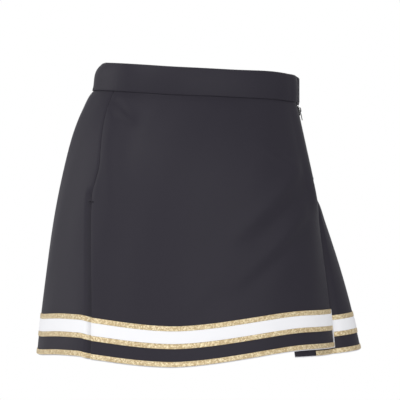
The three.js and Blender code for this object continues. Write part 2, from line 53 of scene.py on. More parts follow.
SPAN = 1000.0  # stations over a whole panel, from one seam to the other
EDGE_STEPS = np.array([0, 0.1, 0.35, 0.7])  # stations close beside a cut edge
STITCH_RUN = np.linspace(0.14, 0.86, 5)  # shares of its pitch that a stitch covers
STITCH_ARCH = np.sin(np.linspace(0, np.pi, 5))  # rise of a stitch over that run
STAIN_SCALE, GRAIN_SCALE = 14.0, 420.0  # large and small unevenness, for each metre
BUMP_DEPTH = 0.0003  # metres from the lowest to the highest of a finish's pattern
Array = np.ndarray
Shape = Callable[[Array, Array], Array]
Place = Callable[[Array, Array, Array], Array]


def smooth(a: float, b: float, x: Array | float) -> Array:
    """A step from 0 at a to 1 at b that starts and ends level."""
    t = np.clip((np.asarray(x, float) - a) / (b - a), 0.0, 1.0)
    return t * t * (3 - 2 * t)


def wrapped(angle: Array | float) -> Array:
    """An angle brought into the half turn either side of the front."""
    return np.arctan2(np.sin(angle), np.cos(angle))


def unit(v: Array) -> Array:
    """Vectors along the last axis brought to length 1."""
    return v / np.maximum(np.linalg.norm(v, axis=-1, keepdims=True), 1e-12)


class Side(Enum):
    """The two side-front seams."""

    LEFT = -1
    RIGHT = 1


class Layer(Enum):
    """Which of the two shells of cloth a piece belongs to."""

    FRONT = "front"
    BACK = "back"


# ---- the shape of the cloth ----------------------------------------------------------


@dataclass(frozen=True)
class Fold:
    """A soft ridge or hollow in the cloth from one place to another.

    Angles are in degrees, depths, widths and heights in millimetres; a hollow has a
    negative height.
    """

    start: tuple[float, float]
    end: tuple[float, float]
    width: float
    height: float

    def at(self, degrees: Array, depth: Array) -> Array:
        """Height of the fold over a set of places.

        Args:
            degrees: Angle round the body.
            depth: Depth below the waist seam.

        Returns:
            The height in millimetres.
        """
        per_degree = 2.9
        ax, ay = self.start[0] * per_degree, self.start[1]
        dx, dy = self.end[0] * per_degree - ax, self.end[1] - ay
        length = math.hypot(dx, dy)
        px, py = degrees * per_degree - ax, depth - ay
        along = (px * dx + py * dy) / length
        across = (px * dy - py * dx) / length
        past = np.maximum(0, np.maximum(-along, along - length))
        taper = 0.55 + 0.45 * np.sin(np.pi * np.clip(along / length, 0, 1))
        return 1.6 * self.height * taper * np.exp(-((across / self.width) ** 2)
                                            - (past / (1.6 * self.width)) ** 2)


@dataclass(frozen=True)
class Swell:
    """A smooth rise round one angle: its middle and width in degrees, and its height."""

    centre: float
    width: float
    height: float

    def at(self, degrees: Array) -> Array:
        """Height of the swell at a set of angles."""
        return self.height * np.exp(-(((degrees - self.centre) / self.width) ** 2))


@dataclass(frozen=True)
class SkirtShape:
    """The skirt's hanging form; the same sizes as the CAD solids, in millimetres.

    The lifts draw the hem up from level. The swells and bows shape the worn waistband:
    where its top leans in, and how its line rises and falls.
    """

    waist_half_width: float = 140
    waist_half_depth: float = 95
    length: float = 346
    band_height: float = 36
    hip_ease: float = 38
    hip_drop: float = 115
    flare: float = 0.08
    squareness: float = 0.03
    hip_forward: float = 6
    waist_shift: float = 12
    waist_tilt: float = 3
    waist_dip: float = 3
    seam_top: float = 70.7
    seam_hem: float = 55.8
    left_sway: float = 4.5
    pleat_top: float = 135
    pleat_kick: float = 38
    under_step: float = 4.3
    zip_length: float = 106
    zip_window: float = 5
    butted: float = 0.12
    zip_tape: float = 12
    snap_edge: float = 23
    front_right_lift: float = 18
    front_left_lift: float = 10
    back_lift: float = 9
    left_fold_lift: float = 3.5
    left_fold_dip: Swell = Swell(-59, 3.5, 2.5)
    left_corner: Swell = Swell(-116, 30, 1.0)
    left_corner_lean: float = 12
    left_side_lean: float = 1.1
    zip_corner: Swell = Swell(72, 20, 6.0)
    left_hip: Swell = Swell(-116, 36, 1.9)
    top_lean: float = 2.0
    left_bow: float = 2.2
    front_bow: Swell = Swell(28, 20, 1.6)
    closure_droop: tuple[float, float] = (0.8, 2.4)
    folds: tuple[Fold, ...] = (
        Fold((-63, 16), (-49, 31), 8.5, -3.4),
        Fold((20, 66), (38, 92), 9, 0.9),
        Fold((38, 90), (2, 184), 12, 1.5),
        Fold((40, 120), (12, 188), 12, -1.1),
        Fold((41, 146), (5, 240), 12, 1.4),
        Fold((34, 190), (2, 262), 12, -1.0),
        Fold((-3, 228), (-22, 288), 13, 1.1),
        Fold((-62, 40), (-52, 150), 12, 0.7),
        Fold((140, 60), (118, 190), 16, 1.4),
        Fold((-150, 60), (-125, 200), 16, 1.3),
        Fold((176, 90), (170, 240), 18, 1.0),
    )

    # -- free form ----------------------------------------------------------------
    def seam_angle(self, side: Side, v: Array | float) -> Array:
        """Where a side-front seam lies.

        Args:
            side: Which seam.
            v: Depth below the waist seam.

        Returns:
            Its angle from the middle of the front, in radians.
        """
        v = np.asarray(v, float)
        t = 1 - np.maximum(0, v) / self.length
        sway = 0.0
        if side is Side.LEFT:
            sway = (self.left_sway * smooth(self.pleat_top - 45, self.pleat_top + 5, v)
                    * (1 - 0.6 * smooth(self.pleat_top, self.length, v)))
        return np.radians(self.seam_hem + (self.seam_top - self.seam_hem) * t * t + sway)

    def lift(self, degrees: Array, layer: Layer) -> Array:
        """How far the hem is drawn up from level.

        Args:
            degrees: Angle round the body.
            layer: Which shell of cloth.

        Returns:
            The lift in millimetres.
        """
        if layer is Layer.FRONT:
            return (self.front_right_lift * smooth(-24, 32, degrees)
                    + self.front_left_lift * smooth(-20, -66, degrees))
        fold = smooth(-35, -55, degrees) * (1 - smooth(-75, -105, degrees))
        left = self.left_fold_lift * fold - self.left_fold_dip.at(degrees)
        return self.back_lift + np.where(degrees > 0, 0.0, left)

    def body(self, angle: Array, v: Array, layer: Layer) -> Array:
        """The form before the zip is let in.

        Args:
            angle: Angle round the body, radians.
            v: Depth below the waist seam.
            layer: Which shell of cloth.

        Returns:
            Points in millimetres, with a last axis of 3.
        """
        angle, v = np.broadcast_arrays(np.asarray(angle, float), np.asarray(v, float))
        degrees = np.degrees(wrapped(angle))
        lift = self.lift(degrees, layer) * smooth(60, self.length - 60, v)
        down = np.maximum(0, v) - lift
        growth = (self.hip_ease * (1 - np.exp(-down / self.hip_drop))
                  + self.flare * down)
        a, b = self.waist_half_width + growth, self.waist_half_depth + growth
        q = self.squareness
        x = (a * (np.sin(angle) + q * np.sin(3 * angle))
             + self.waist_shift * (np.exp(-down / 28) - 1))
        y = (-b * (np.cos(angle) - q * np.cos(3 * angle))
             - self.hip_forward * np.exp(-(((down - 90) / 70) ** 2)))
        fade = 1 - down / self.length
        tip = math.radians(68)
        tilt = math.tan(math.radians(self.waist_tilt)) * (
            x * math.sin(tip) - y * math.cos(tip))
        dip = self.waist_dip * np.maximum(0, np.cos(angle))
        z = -np.where(v < 0, v + lift, down) - (tilt + dip) * fade
        return np.stack([x, y, z], axis=-1)

    def seam_radius(self, side: Side, v: Array | float) -> Array:
        """Size of the form where a seam crosses it.

        Args:
            side: Which seam.
            v: Depth below the waist seam.

        Returns:
            Millimetres for each radian.
        """
        at = self.seam_angle(side, v)
        a = self.body(side.value * (at + 0.02), v, Layer.FRONT)
        b = self.body(side.value * (at - 0.02), v, Layer.FRONT)
        return np.linalg.norm(a - b, axis=-1) / 0.04

    def angle_at(self, side: Side, v: Array | float, across: Array | float) -> Array:
        """Angle of the place a distance behind a seam (negative is in front of it)."""
        return side.value * (self.seam_angle(side, v)
                             + np.asarray(across, float) / self.seam_radius(side, v))

    # -- the straight strip that the zip lies on --------------------------------------
    @cached_property
    def strip(self) -> dict[str, Array]:
        """The zip's strip.

        Returns:
            Its top and directions: down it, level round the body, square across it and
            out of it, with the scale of depth along it.
        """
        depth = self.zip_length + 12
        right = Side.RIGHT
        top = self.body(self.seam_angle(right, 0.0), 0.0, Layer.FRONT)
        down = self.body(self.seam_angle(right, depth), depth, Layer.FRONT) - top
        scale = np.linalg.norm(down) / depth
        down = unit(down)
        mid = self.seam_angle(right, 55.0)
        level = unit(self.body(mid + 0.02, 55.0, Layer.FRONT)
                     - self.body(mid - 0.02, 55.0, Layer.FRONT))
        across = unit(level - down * float(level @ down))
        return {"top": top, "down": down, "scale": np.array(scale), "level": level,
                "across": across, "out": unit(np.cross(down, across))}

    def strip_point(self, across: Array, along: Array, out: Array) -> Array:
        """Points in the zip's own frame.

        Args:
            across: Distance across the strip, positive toward the back.
            along: Distance down the strip.
            out: Distance out of it.

        Returns:
            Points in millimetres.
        """
        s = self.strip
        a, d, n = np.broadcast_arrays(*(np.asarray(q, float) for q in (across, along, out)))
        return (s["top"] + a[..., None] * s["across"] + d[..., None] * s["down"]
                + n[..., None] * s["out"])

    def surface(self, angle: Array, v: Array, layer: Layer) -> Array:
        """The form with the zip's strip let in.

        Args:
            angle: Angle round the body, radians.
            v: Depth below the waist seam; the band stands upright above it.
            layer: Which shell of cloth.

        Returns:
            Points in millimetres.
        """
        angle, v = np.broadcast_arrays(np.asarray(angle, float), np.asarray(v, float))
        down = np.maximum(0, v)
        point = self.body(angle, down, layer)
        right = Side.RIGHT
        across = ((wrapped(angle) - self.seam_angle(right, down))
                  * self.seam_radius(right, down))
        flat = np.where(across > 0, self.snap_edge, self.zip_tape + 1)
        t = np.clip((np.abs(across) - flat) / 32, 0, 1)
        depth = self.zip_length + 12
        weight = (1 - t * t * (3 - 2 * t)) * (1 - smooth(depth, depth + 50, down))
        s = self.strip
        strip = (s["top"] + (down * s["scale"])[..., None] * s["down"]
                 + across[..., None] * s["level"])
        point = point + weight[..., None] * (strip - point)
        point[..., 2] -= np.minimum(0, v)
        return point

    @staticmethod
    def normal(shape: Shape, angle: Array, v: Array) -> Array:
        """Outward direction of a shape.

        Args:
            shape: Gives points for angles and depths.
            angle: Angle round the body, radians.
            v: Depth below the waist seam.

        Returns:
            Unit vectors.
        """
        across = shape(angle + 0.004, v) - shape(angle - 0.004, v)
        down = shape(angle, v + 0.8) - shape(angle, v - 0.8)
        return unit(np.cross(down, across))

    def back_offset(self, angle: Array, v: Array) -> Array:
        """How far the back shell stands from the free form: in under the flaps, and
        out where the zip-side underlay kicks.

        Args:
            angle: Angle round the body, radians.
            v: Depth below the waist seam.

        Returns:
            Distance outward in millimetres.
        """
        turned = wrapped(angle)
        result = np.zeros(np.shape(turned))
        for side in Side:
            across = ((np.abs(turned) - self.seam_angle(side, v))
                      * self.seam_radius(side, v))
            step = (-self.under_step * smooth(self.pleat_top - 12, self.pleat_top + 8, v)
                    * (1 - smooth(1, 12, across)))
            if side is Side.RIGHT:
                below = np.maximum(0, v - self.pleat_top) / (self.length - self.pleat_top)
                reach = np.clip(across / 60, 0, 1)
                step = step + (self.pleat_kick * below ** 0.62
                               * np.sin(np.pi * reach / 2) * (1 - smooth(60, 190, across)))
            result = np.where(np.sign(turned) == side.value, step, result)
        return result

    def drape(self, angle: Array, v: Array) -> Array:
        """Soft folds, still over the zip, seams and waistband.

        Args:
            angle: Angle round the body, radians.
            v: Depth below the waist seam.

        Returns:
            Distance outward in millimetres.
        """
        degrees = np.degrees(wrapped(angle))
        total = sum(f.at(degrees, v) for f in self.folds)
        total = total + 0.35 * np.sin(degrees * 0.11 + 1.3) * np.sin(v * 0.021 + 0.6)
        total = total + 0.22 * np.sin(degrees * 0.31 + v * 0.033)
        right = Side.RIGHT
        across = ((wrapped(angle) - self.seam_angle(right, v))
                  * self.seam_radius(right, v))
        still = 1 - (1 - smooth(14, 34, np.abs(across))) * (
            1 - smooth(self.pleat_top, self.pleat_top + 50, v))
        return total * still * smooth(0, 14, v)

    def slump(self, angle: Array, v: Array) -> tuple[Array, Array]:
        """How the soft band leans in toward its top, bows, and droops at the closure.

        Args:
            angle: Angle round the body, radians.
            v: Depth below the waist seam.

        Returns:
            Millimetres inward, and millimetres down.
        """
        degrees = np.degrees(wrapped(angle))
        rise = np.clip(-v / self.band_height, 0, 1)
        across = ((wrapped(angle) - self.seam_angle(Side.RIGHT, 0.0))
                  * self.seam_radius(Side.RIGHT, 0.0))
        closure = smooth(-26, -2, across) * (1 - smooth(12, 44, across))
        lapped = smooth(-30, -12, across) * (1 - smooth(34, 60, across))
        corner = (self.left_corner_lean * rise ** 5.6
                  + self.left_side_lean * smooth(0.02, 0.2, rise))
        lean = (self.left_corner.at(degrees) * corner
                + self.zip_corner.at(degrees) * smooth(0.9, 1.08, rise)
                + self.top_lean * rise ** 3 * (1 - lapped)
                - self.left_hip.at(degrees) * np.exp(-(((v - 4) / 13) ** 2)))
        least, most = self.closure_droop
        droop = most - (most - least) * smooth(0.1, 0.6, rise)
        low = smooth(0, -35, degrees) * (1 - smooth(-120, -160, degrees))
        bow = (self.left_bow * low * (1 - 0.4 * rise)
               - self.front_bow.at(degrees) * (1 + 0.4 * rise))
        return lean, (closure * (1 - smooth(-2, 34, v)) * droop
                      + bow * (1 - smooth(4, 80, v)))

    def front_form(self, angle: Array, v: Array) -> Array:
        """The face of the front shell."""
        return self.surface(angle, v, Layer.FRONT)

    def back_form(self, angle: Array, v: Array) -> Array:
        """The face of the back shell, in under the flaps.

        Args:
            angle: Angle round the body, radians.
            v: Depth below the waist seam.

        Returns:
            Points in millimetres.
        """
        free = partial(self.surface, layer=Layer.BACK)
        away = self.back_offset(angle, v)[..., None]
        return free(angle, v) + self.normal(free, angle, v) * away

    def point(self, layer: Layer, angle: Array, v: Array, out: Array | float,
              draped: bool = True) -> Array:
        """A place on, or a distance out from, one shell of cloth.

        Args:
            layer: Which shell.
            angle: Angle round the body, radians.
            v: Depth below the waist seam.
            out: Distance outward from the face of the cloth.
            draped: Whether the soft folds are added.

        Returns:
            Points in millimetres.
        """
        angle, v, out = np.broadcast_arrays(
            np.asarray(angle, float), np.asarray(v, float), np.asarray(out, float))
        shape = self.front_form if layer is Layer.FRONT else self.back_form
        push = out + (self.drape(angle, v) if draped else 0.0)
        lean, droop = self.slump(angle, v)
        point = shape(angle, v) + self.normal(shape, angle, v) * (push - lean)[..., None]
        point[..., 2] -= droop
        return point

    def edge_gap(self, side: Side, v: Array | float) -> Array:
        """Half the space between the two panels at a seam, opened out by the zip.

        Args:
            side: Which seam.
            v: Depth below the waist seam.

        Returns:
            The half space in millimetres.
        """
        v = np.asarray(v, float)
        if side is Side.LEFT:
            return np.full(v.shape, self.butted)
        return self.butted + (self.zip_window - self.butted) * (
            1 - smooth(self.zip_length, self.zip_length + 7, v))


# ---- mesh building -------------------------------------------------------------------


@dataclass
class MeshDraft:
    """Vertices, faces and cloth coordinates gathered for one piece."""

    name: str
    points: list[Array] = field(default_factory=list)
    faces: list[tuple[int, ...]] = field(default_factory=list)
    cloth: list[Array] = field(default_factory=list)
    count: int = 0

    def add(self, points: Array, cloth: Array | None = None) -> int:
        """Add points and say where they start.

        Args:
            points: Points in millimetres, any shape ending in 3.
            cloth: Cloth coordinates in millimetres, the same shape ending in 2.

        Returns:
            The index of the first added point.
        """
        flat = np.asarray(points, float).reshape(-1, 3)
        uv = np.zeros((len(flat), 2)) if cloth is None else np.asarray(
            cloth, float).reshape(-1, 2)
        start = self.count
        self.points.append(flat)
        self.cloth.append(uv)
        self.count += len(flat)
        return start

    def grid_faces(self, index: Array, flip: bool = False,
                   present: Array | None = None) -> None:
        """Add the quads of a grid of points.

        Args:
            index: Point indices, rows by columns.
            flip: Whether the quads turn the other way.
            present: Which cells to add, or all of them.
        """
        a, b = index[:-1, :-1], index[1:, :-1]
        c, d = index[1:, 1:], index[:-1, 1:]
        quads = np.stack([a, d, c, b] if flip else [a, b, c, d], axis=-1)
        chosen = quads.reshape(-1, 4) if present is None else quads[present]
        for quad in chosen.tolist():
            corners = tuple(dict.fromkeys(quad))
            if len(corners) > 2:
                self.faces.append(corners)

    def build(self, outward: bool = True) -> bpy.types.Object:
        """Make the object, with faces turned outward and cloth coordinates kept.

        Args:
            outward: Whether to turn the faces by the enclosed volume.

        Returns:
            The new object, in metres.
        """
        points = np.concatenate(self.points) * MM
        cloth = np.concatenate(self.cloth)
        mesh = bpy.data.meshes.new(self.name)
        mesh.from_pydata(points.tolist(), [], self.faces)
        mesh.update()
        if outward and signed_volume(mesh) < 0:
            mesh.flip_normals()
        layer = mesh.uv_layers.new(name="cloth")
        loops = np.empty(len(mesh.loops), int)
        mesh.loops.foreach_get("vertex_index", loops)
        layer.data.foreach_set("uv", cloth[loops].astype(np.float32).ravel())
        for polygon in mesh.polygons:
            polygon.use_smooth = True
        obj = bpy.data.objects.new(self.name, mesh)
        bpy.context.scene.collection.objects.link(obj)
        return obj


def signed_volume(mesh: bpy.types.Mesh) -> float:
    """Six times the volume that a mesh's faces enclose.

    Args:
        mesh: The mesh to measure.

    Returns:
        The figure in cubic metres, negative if the faces turn in.
    """
    points = np.empty(len(mesh.vertices) * 3)
    mesh.vertices.foreach_get("co", points)
    points = points.reshape(-1, 3)
    mesh.calc_loop_triangles()
    tris = np.empty(len(mesh.loop_triangles) * 3, int)
    mesh.loop_triangles.foreach_get("vertices", tris)
    a, b, c = (points[tris.reshape(-1, 3)[:, k]] for k in range(3))
    return float(np.einsum("ij,ij->i", a, np.cross(b, c)).sum())


def rounded_stations(start: float, end: float, step: float, radius: float) -> Array:
    """Stations that lie close together at both ends, where the edges round over.

    Args:
        start: First station.
        end: Last station.
        step: Distance between the inner ones, about.
        radius: Radius of the rounded edge.

    Returns:
        The stations in order.
    """
    near = radius * np.array([0.0, 0.18, 0.6, 1.15])
    inner = np.linspace(start + near[-1], end - near[-1],
                        max(2, int(round((end - start) / step))))
    return np.concatenate([start + near[:-1], inner, (end - near[:-1])[::-1]])


def cloth_shell(name: str, place: Place, across: Array, down: Array, thickness: float,
                edge: Array, present: Array | None = None) -> bpy.types.Object:
    """A closed piece of cloth with rounded cut edges.

    Args:
        name: The object's name.
        place: Gives points for arrays of across, down and distance from mid cloth.
        across: Stations over the piece.
        down: Stations along the piece.
        thickness: Thickness of the cloth.
        edge: Distance of each grid point from the nearest cut edge.
        present: Which cells of the grid are cloth, or all of them.

    Returns:
        The new object.
    """
    u, v = np.meshgrid(across, down)
    half = thickness / 2
    t = np.clip(edge / half, 0, 1)
    rise = half * np.sqrt(np.maximum(0, 1 - (1 - t) ** 2))
    if present is None:
        present = np.ones((len(down) - 1, len(across) - 1), bool)
    padded = np.pad(present, 1)
    touching = np.stack([padded[:-1, :-1], padded[1:, :-1], padded[:-1, 1:],
                         padded[1:, 1:]])
    used, rim = touching.any(axis=0), ~touching.all(axis=0)
    draft = MeshDraft(name)
    outer = np.full(u.shape, -1)
    inner = np.full(u.shape, -1)
    outer[used] = draft.add(place(u, v, rise)[used], np.stack([u, v], -1)[used]) + np.arange(
        used.sum())
    inner[used & rim] = outer[used & rim]
    body = used & ~rim
    inner[body] = draft.add(place(u, v, -rise)[body], np.stack([u, v], -1)[body]) + np.arange(
        body.sum())
    draft.grid_faces(outer, present=present)
    draft.grid_faces(inner, flip=True, present=present)
    return draft.build()


def running_length(points: Array) -> Array:
    """Distance along a row of points from the first."""
    return np.concatenate([[0], np.cumsum(np.linalg.norm(np.diff(points, axis=0), axis=-1))])


def swept_profile(name: str, rings: Array) -> bpy.types.Object:
    """A solid from rings of points, with flat ends.

    Args:
        name: The object's name.
        rings: Array of ring, point and coordinate, in millimetres.

    Returns:
        The new object.
    """
    count, size = rings.shape[:2]
    draft = MeshDraft(name)
    cloth = np.stack(np.broadcast_arrays(running_length(rings[:, 0])[:, None],
                                         running_length(rings[0])[None]), axis=-1)
    start = draft.add(rings, cloth)
    index = start + np.arange(count * size).reshape(count, size)
    draft.grid_faces(np.concatenate([index, index[:, :1]], axis=1))
    draft.faces.append(tuple(index[0].tolist()))
    draft.faces.append(tuple(index[-1, ::-1].tolist()))
    obj = draft.build()
    for cap in (-1, -2):
        obj.data.polygons[cap].use_smooth = False
    return obj


def tube_rings(path: Array, radius: float, sides: int = 8) -> Array:
    """Rings of points round a path.

    Args:
        path: Points in millimetres.
        radius: Radius of the tube.
        sides: Points in each ring.

    Returns:
        Array of ring, point and coordinate.
    """
    tangent = unit(np.gradient(path, axis=0))
    guide = np.array([0.31, 0.27, 0.91])
    first = unit(np.cross(tangent, guide))
    second = np.cross(tangent, first)
    turn = np.linspace(0, 2 * np.pi, sides, endpoint=False)[None, :, None]
    return path[:, None] + radius * (np.cos(turn) * first[:, None]
                                     + np.sin(turn) * second[:, None])


def scale_across(obj: bpy.types.Object, factor: float) -> None:
    """Bring the first cloth coordinate to millimetres.

    Args:
        obj: The piece of cloth.
        factor: Millimetres for each unit that it has now.
    """
    layer = obj.data.uv_layers["cloth"]
    values = np.empty(len(layer.data) * 2, np.float32)
    layer.data.foreach_get("uv", values)
    values[0::2] *= factor
    layer.data.foreach_set("uv", values)


def joined(name: str, objects: Sequence[bpy.types.Object]) -> bpy.types.Object:
    """Several small meshes made into one piece.

    Args:
        name: Name of the result.
        objects: Pieces to join; they are used up.

    Returns:
        The joined object.
    """
    draft = MeshDraft(name)
    for obj in objects:
        mesh = obj.data
        points = np.empty(len(mesh.vertices) * 3)
        mesh.vertices.foreach_get("co", points)
        start = draft.add(points.reshape(-1, 3) / MM)
        draft.faces.extend(tuple(start + i for i in p.vertices) for p in mesh.polygons)
        bpy.data.objects.remove(obj)
        bpy.data.meshes.remove(mesh)
    return draft.build(outward=False)


# ---- finishes ------------------------------------------------------------------------


class NodeBench:
    """Short ways to place and wire shader nodes in one tree."""

    def __init__(self, tree: bpy.types.NodeTree) -> None:
        """Work on a node tree."""
        self.tree = tree

    def add(self, kind: str, **settings: object) -> bpy.types.Node:
        """Place a node.

        Args:
            kind: The node's type name.
            settings: Attributes, or input values under their socket's name with
                underscores for spaces.

        Returns:
            The node.
        """
        node = self.tree.nodes.new(kind)
        for key, value in settings.items():
            if hasattr(node, key):
                setattr(node, key, value)
            else:
                node.inputs[key.replace("_", " ")].default_value = value
        return node

    def wire(self, out: bpy.types.NodeSocket, into: bpy.types.NodeSocket) -> None:
        """Join two sockets."""
        self.tree.links.new(out, into)

    def math(self, operation: str, a: bpy.types.NodeSocket | float,
             b: bpy.types.NodeSocket | float = 0.0,
             clamp: bool = False) -> bpy.types.NodeSocket:
        """Place one sum.

        Args:
            operation: What it works out, such as ADD.
            a: First value or socket.
            b: Second value or socket.
            clamp: Whether the result is kept from 0 to 1.

        Returns:
            The output socket.
        """
        node = self.add("ShaderNodeMath", operation=operation, use_clamp=clamp)
        for k, value in enumerate((a, b)):
            if isinstance(value, bpy.types.NodeSocket):
                self.wire(value, node.inputs[k])
            else:
                node.inputs[k].default_value = value
        return node.outputs[0]

    def mix(self, factor: bpy.types.NodeSocket | float, a: object,
            b: object) -> bpy.types.NodeSocket:
        """Place a blend of two colours.

        Args:
            factor: Share of the second, a value or socket.
            a: First colour or socket.
            b: Second colour or socket.

        Returns:
            The output socket.
        """
        node = self.tree.nodes.new("ShaderNodeMix")
        node.data_type = "RGBA"
        sockets = (node.inputs[0], node.inputs[6], node.inputs[7])
        for socket, value in zip(sockets, (factor, a, b)):
            if isinstance(value, bpy.types.NodeSocket):
                self.wire(value, socket)
            else:
                socket.default_value = value
        return node.outputs[2]


def new_group(name: str, inputs: dict[str, float],
              outputs: Sequence[str]) -> tuple[bpy.types.NodeTree, NodeBench,
                                               bpy.types.Node, bpy.types.Node]:
    """Start a shader node group with a Vector input, value inputs and value outputs.

    Args:
        name: The group's name.
        inputs: Value inputs and their defaults.
        outputs: Names of the value outputs.

    Returns:
        The group, a bench for it, its input node and its output node.
    """
    group = bpy.data.node_groups.new(name, "ShaderNodeTree")
    group.interface.new_socket("Vector", in_out="INPUT", socket_type="NodeSocketVector")
    for key, value in inputs.items():
        socket = group.interface.new_socket(key, in_out="INPUT",
                                            socket_type="NodeSocketFloat")
        socket.default_value = value
    for key in outputs:
        group.interface.new_socket(key, in_out="OUTPUT", socket_type="NodeSocketFloat")
    bench = NodeBench(group)
    return group, bench, bench.add("NodeGroupInput"), bench.add("NodeGroupOutput")


class EffectGroups:
    """The effects that more than one finish uses, each built once."""

    def __init__(self) -> None:
        """Build every group."""
        self.knit = self._knit()
        self.ribs = self._ribs()
        self.plait = self._plait()
        self.mottle = self._mottle()

    @staticmethod
    def _knit() -> bpy.types.NodeTree:
        """Columns of small V-shaped loops, from cloth coordinates in millimetres. The second
        output is painted shading: darker in the hollows between the loops, lighter on their
        crests.

        Returns:
            The node group.
        """
        group, bench, source, sink = new_group(
            "knit_loops", {"Wale": 0.9, "Course": 0.8}, ("Height", "Shade"))
        split = bench.add("ShaderNodeSeparateXYZ")
        bench.wire(source.outputs["Vector"], split.inputs[0])
        x = bench.math("DIVIDE", split.outputs[0], source.outputs["Wale"])
        column = bench.math("PINGPONG", x, 0.5)
        lean = bench.math("MULTIPLY", column, 1.1)
        y = bench.math("ADD", bench.math("DIVIDE", split.outputs[1],
                                         source.outputs["Course"]), lean)
        loop = bench.math("MULTIPLY", bench.math("PINGPONG", y, 0.5), 2.0)
        edge = bench.math("MULTIPLY", column, 2.0)
        ridge = bench.math("MULTIPLY", bench.math("SUBTRACT", 1.0, bench.math(
            "POWER", bench.math("ABSOLUTE", bench.math("SUBTRACT", edge, 0.5)), 2.0)), 0.75)
        height = bench.math("ADD", bench.math("MULTIPLY", loop, 0.35), ridge)
        bench.wire(height, sink.inputs["Height"])
        # Painted shading: the lower the loop, the darker the colour it gives.
        bench.wire(bench.math("MULTIPLY", height, 0.9, clamp=True), sink.inputs["Shade"])
        return group

    @staticmethod
    def _ribs() -> bpy.types.NodeTree:
        """A close rib weave: fine ribs across, with threads crossing them. The second output
        is painted shading: darker in the hollows of the weave, lighter on the ribs.

        Returns:
            The node group.
        """
        group, bench, source, sink = new_group(
            "rib_weave", {"Rib": 1.1, "Thread": 0.5}, ("Height", "Shade"))
        split = bench.add("ShaderNodeSeparateXYZ")
        bench.wire(source.outputs["Vector"], split.inputs[0])
        rib = bench.math("SINE", bench.math("MULTIPLY", bench.math(
            "DIVIDE", split.outputs[0], source.outputs["Rib"]), 2 * math.pi))
        thread = bench.math("SINE", bench.math("MULTIPLY", bench.math(
            "DIVIDE", split.outputs[1], source.outputs["Thread"]), 2 * math.pi))
        height = bench.math("ADD", bench.math("MULTIPLY", rib, 0.35), bench.math(
            "MULTIPLY", thread, 0.15))
        bench.wire(bench.math("ADD", height, 0.5), sink.inputs["Height"])
        # Painted shading: the lower the weave, the darker the colour it gives.
        bench.wire(bench.math("ADD", bench.math("MULTIPLY", height, 0.8), 0.5, clamp=True),
                   sink.inputs["Shade"])
        return group

    @staticmethod
    def _plait() -> bpy.types.NodeTree:
        """Plaited metallic strands, with a painted glint: random cells of the braid made
        lighter in colour, as if the odd strand caught the light.

        Returns:
            The node group.
        """
        group, bench, source, sink = new_group(
            "plaited_strands", {"Strand": 1.3}, ("Height", "Shade"))
        split = bench.add("ShaderNodeSeparateXYZ")
        bench.wire(source.outputs["Vector"], split.inputs[0])
        x = bench.math("DIVIDE", split.outputs[0], source.outputs["Strand"])
        y = bench.math("DIVIDE", split.outputs[1], source.outputs["Strand"])
        fold = bench.math("PINGPONG", y, 1.2)
        one = bench.math("SINE", bench.math("MULTIPLY", bench.math("ADD", x, fold),
                                            2 * math.pi))
        cells = bench.add("ShaderNodeTexVoronoi", feature="F1", voronoi_dimensions="2D")
        cells.inputs["Scale"].default_value = 0.62
        bench.wire(source.outputs["Vector"], cells.inputs["Vector"])
        glint = bench.add("ShaderNodeSeparateColor")
        bench.wire(cells.outputs["Color"], glint.inputs[0])
        # Painted glint: each random cell's brightness lightens the braid's colour.
        spark = bench.math("POWER", glint.outputs[0], 1.5)
        height = bench.math("ADD", bench.math("MULTIPLY", one, 0.4), bench.math(
            "MULTIPLY", glint.outputs[1], 0.5))
        bench.wire(height, sink.inputs["Height"])
        bench.wire(spark, sink.inputs["Shade"])
        return group

    @staticmethod
    def _mottle() -> bpy.types.NodeTree:
        """Uneven dye and handling, large and small.

        Returns:
            The node group.
        """
        group, bench, source, sink = new_group(
            "uneven_dye", {"Large": 0.012, "Small": 0.35}, ("Large", "Small"))
        for key, detail in (("Large", 3.0), ("Small", 4.0)):
            noise = bench.add("ShaderNodeTexNoise")
            noise.inputs["Detail"].default_value = detail
            noise.inputs["Roughness"].default_value = 0.55
            bench.wire(source.outputs["Vector"], noise.inputs["Vector"])
            bench.wire(source.outputs[key], noise.inputs["Scale"])
            bench.wire(noise.outputs[0], sink.inputs[key])
        return group


class Pattern(Enum):
    """The surface patterns a finish can have."""

    KNIT = "knit"
    RIBS = "ribs"
    PLAIT = "plait"
    PLAIN = "plain"


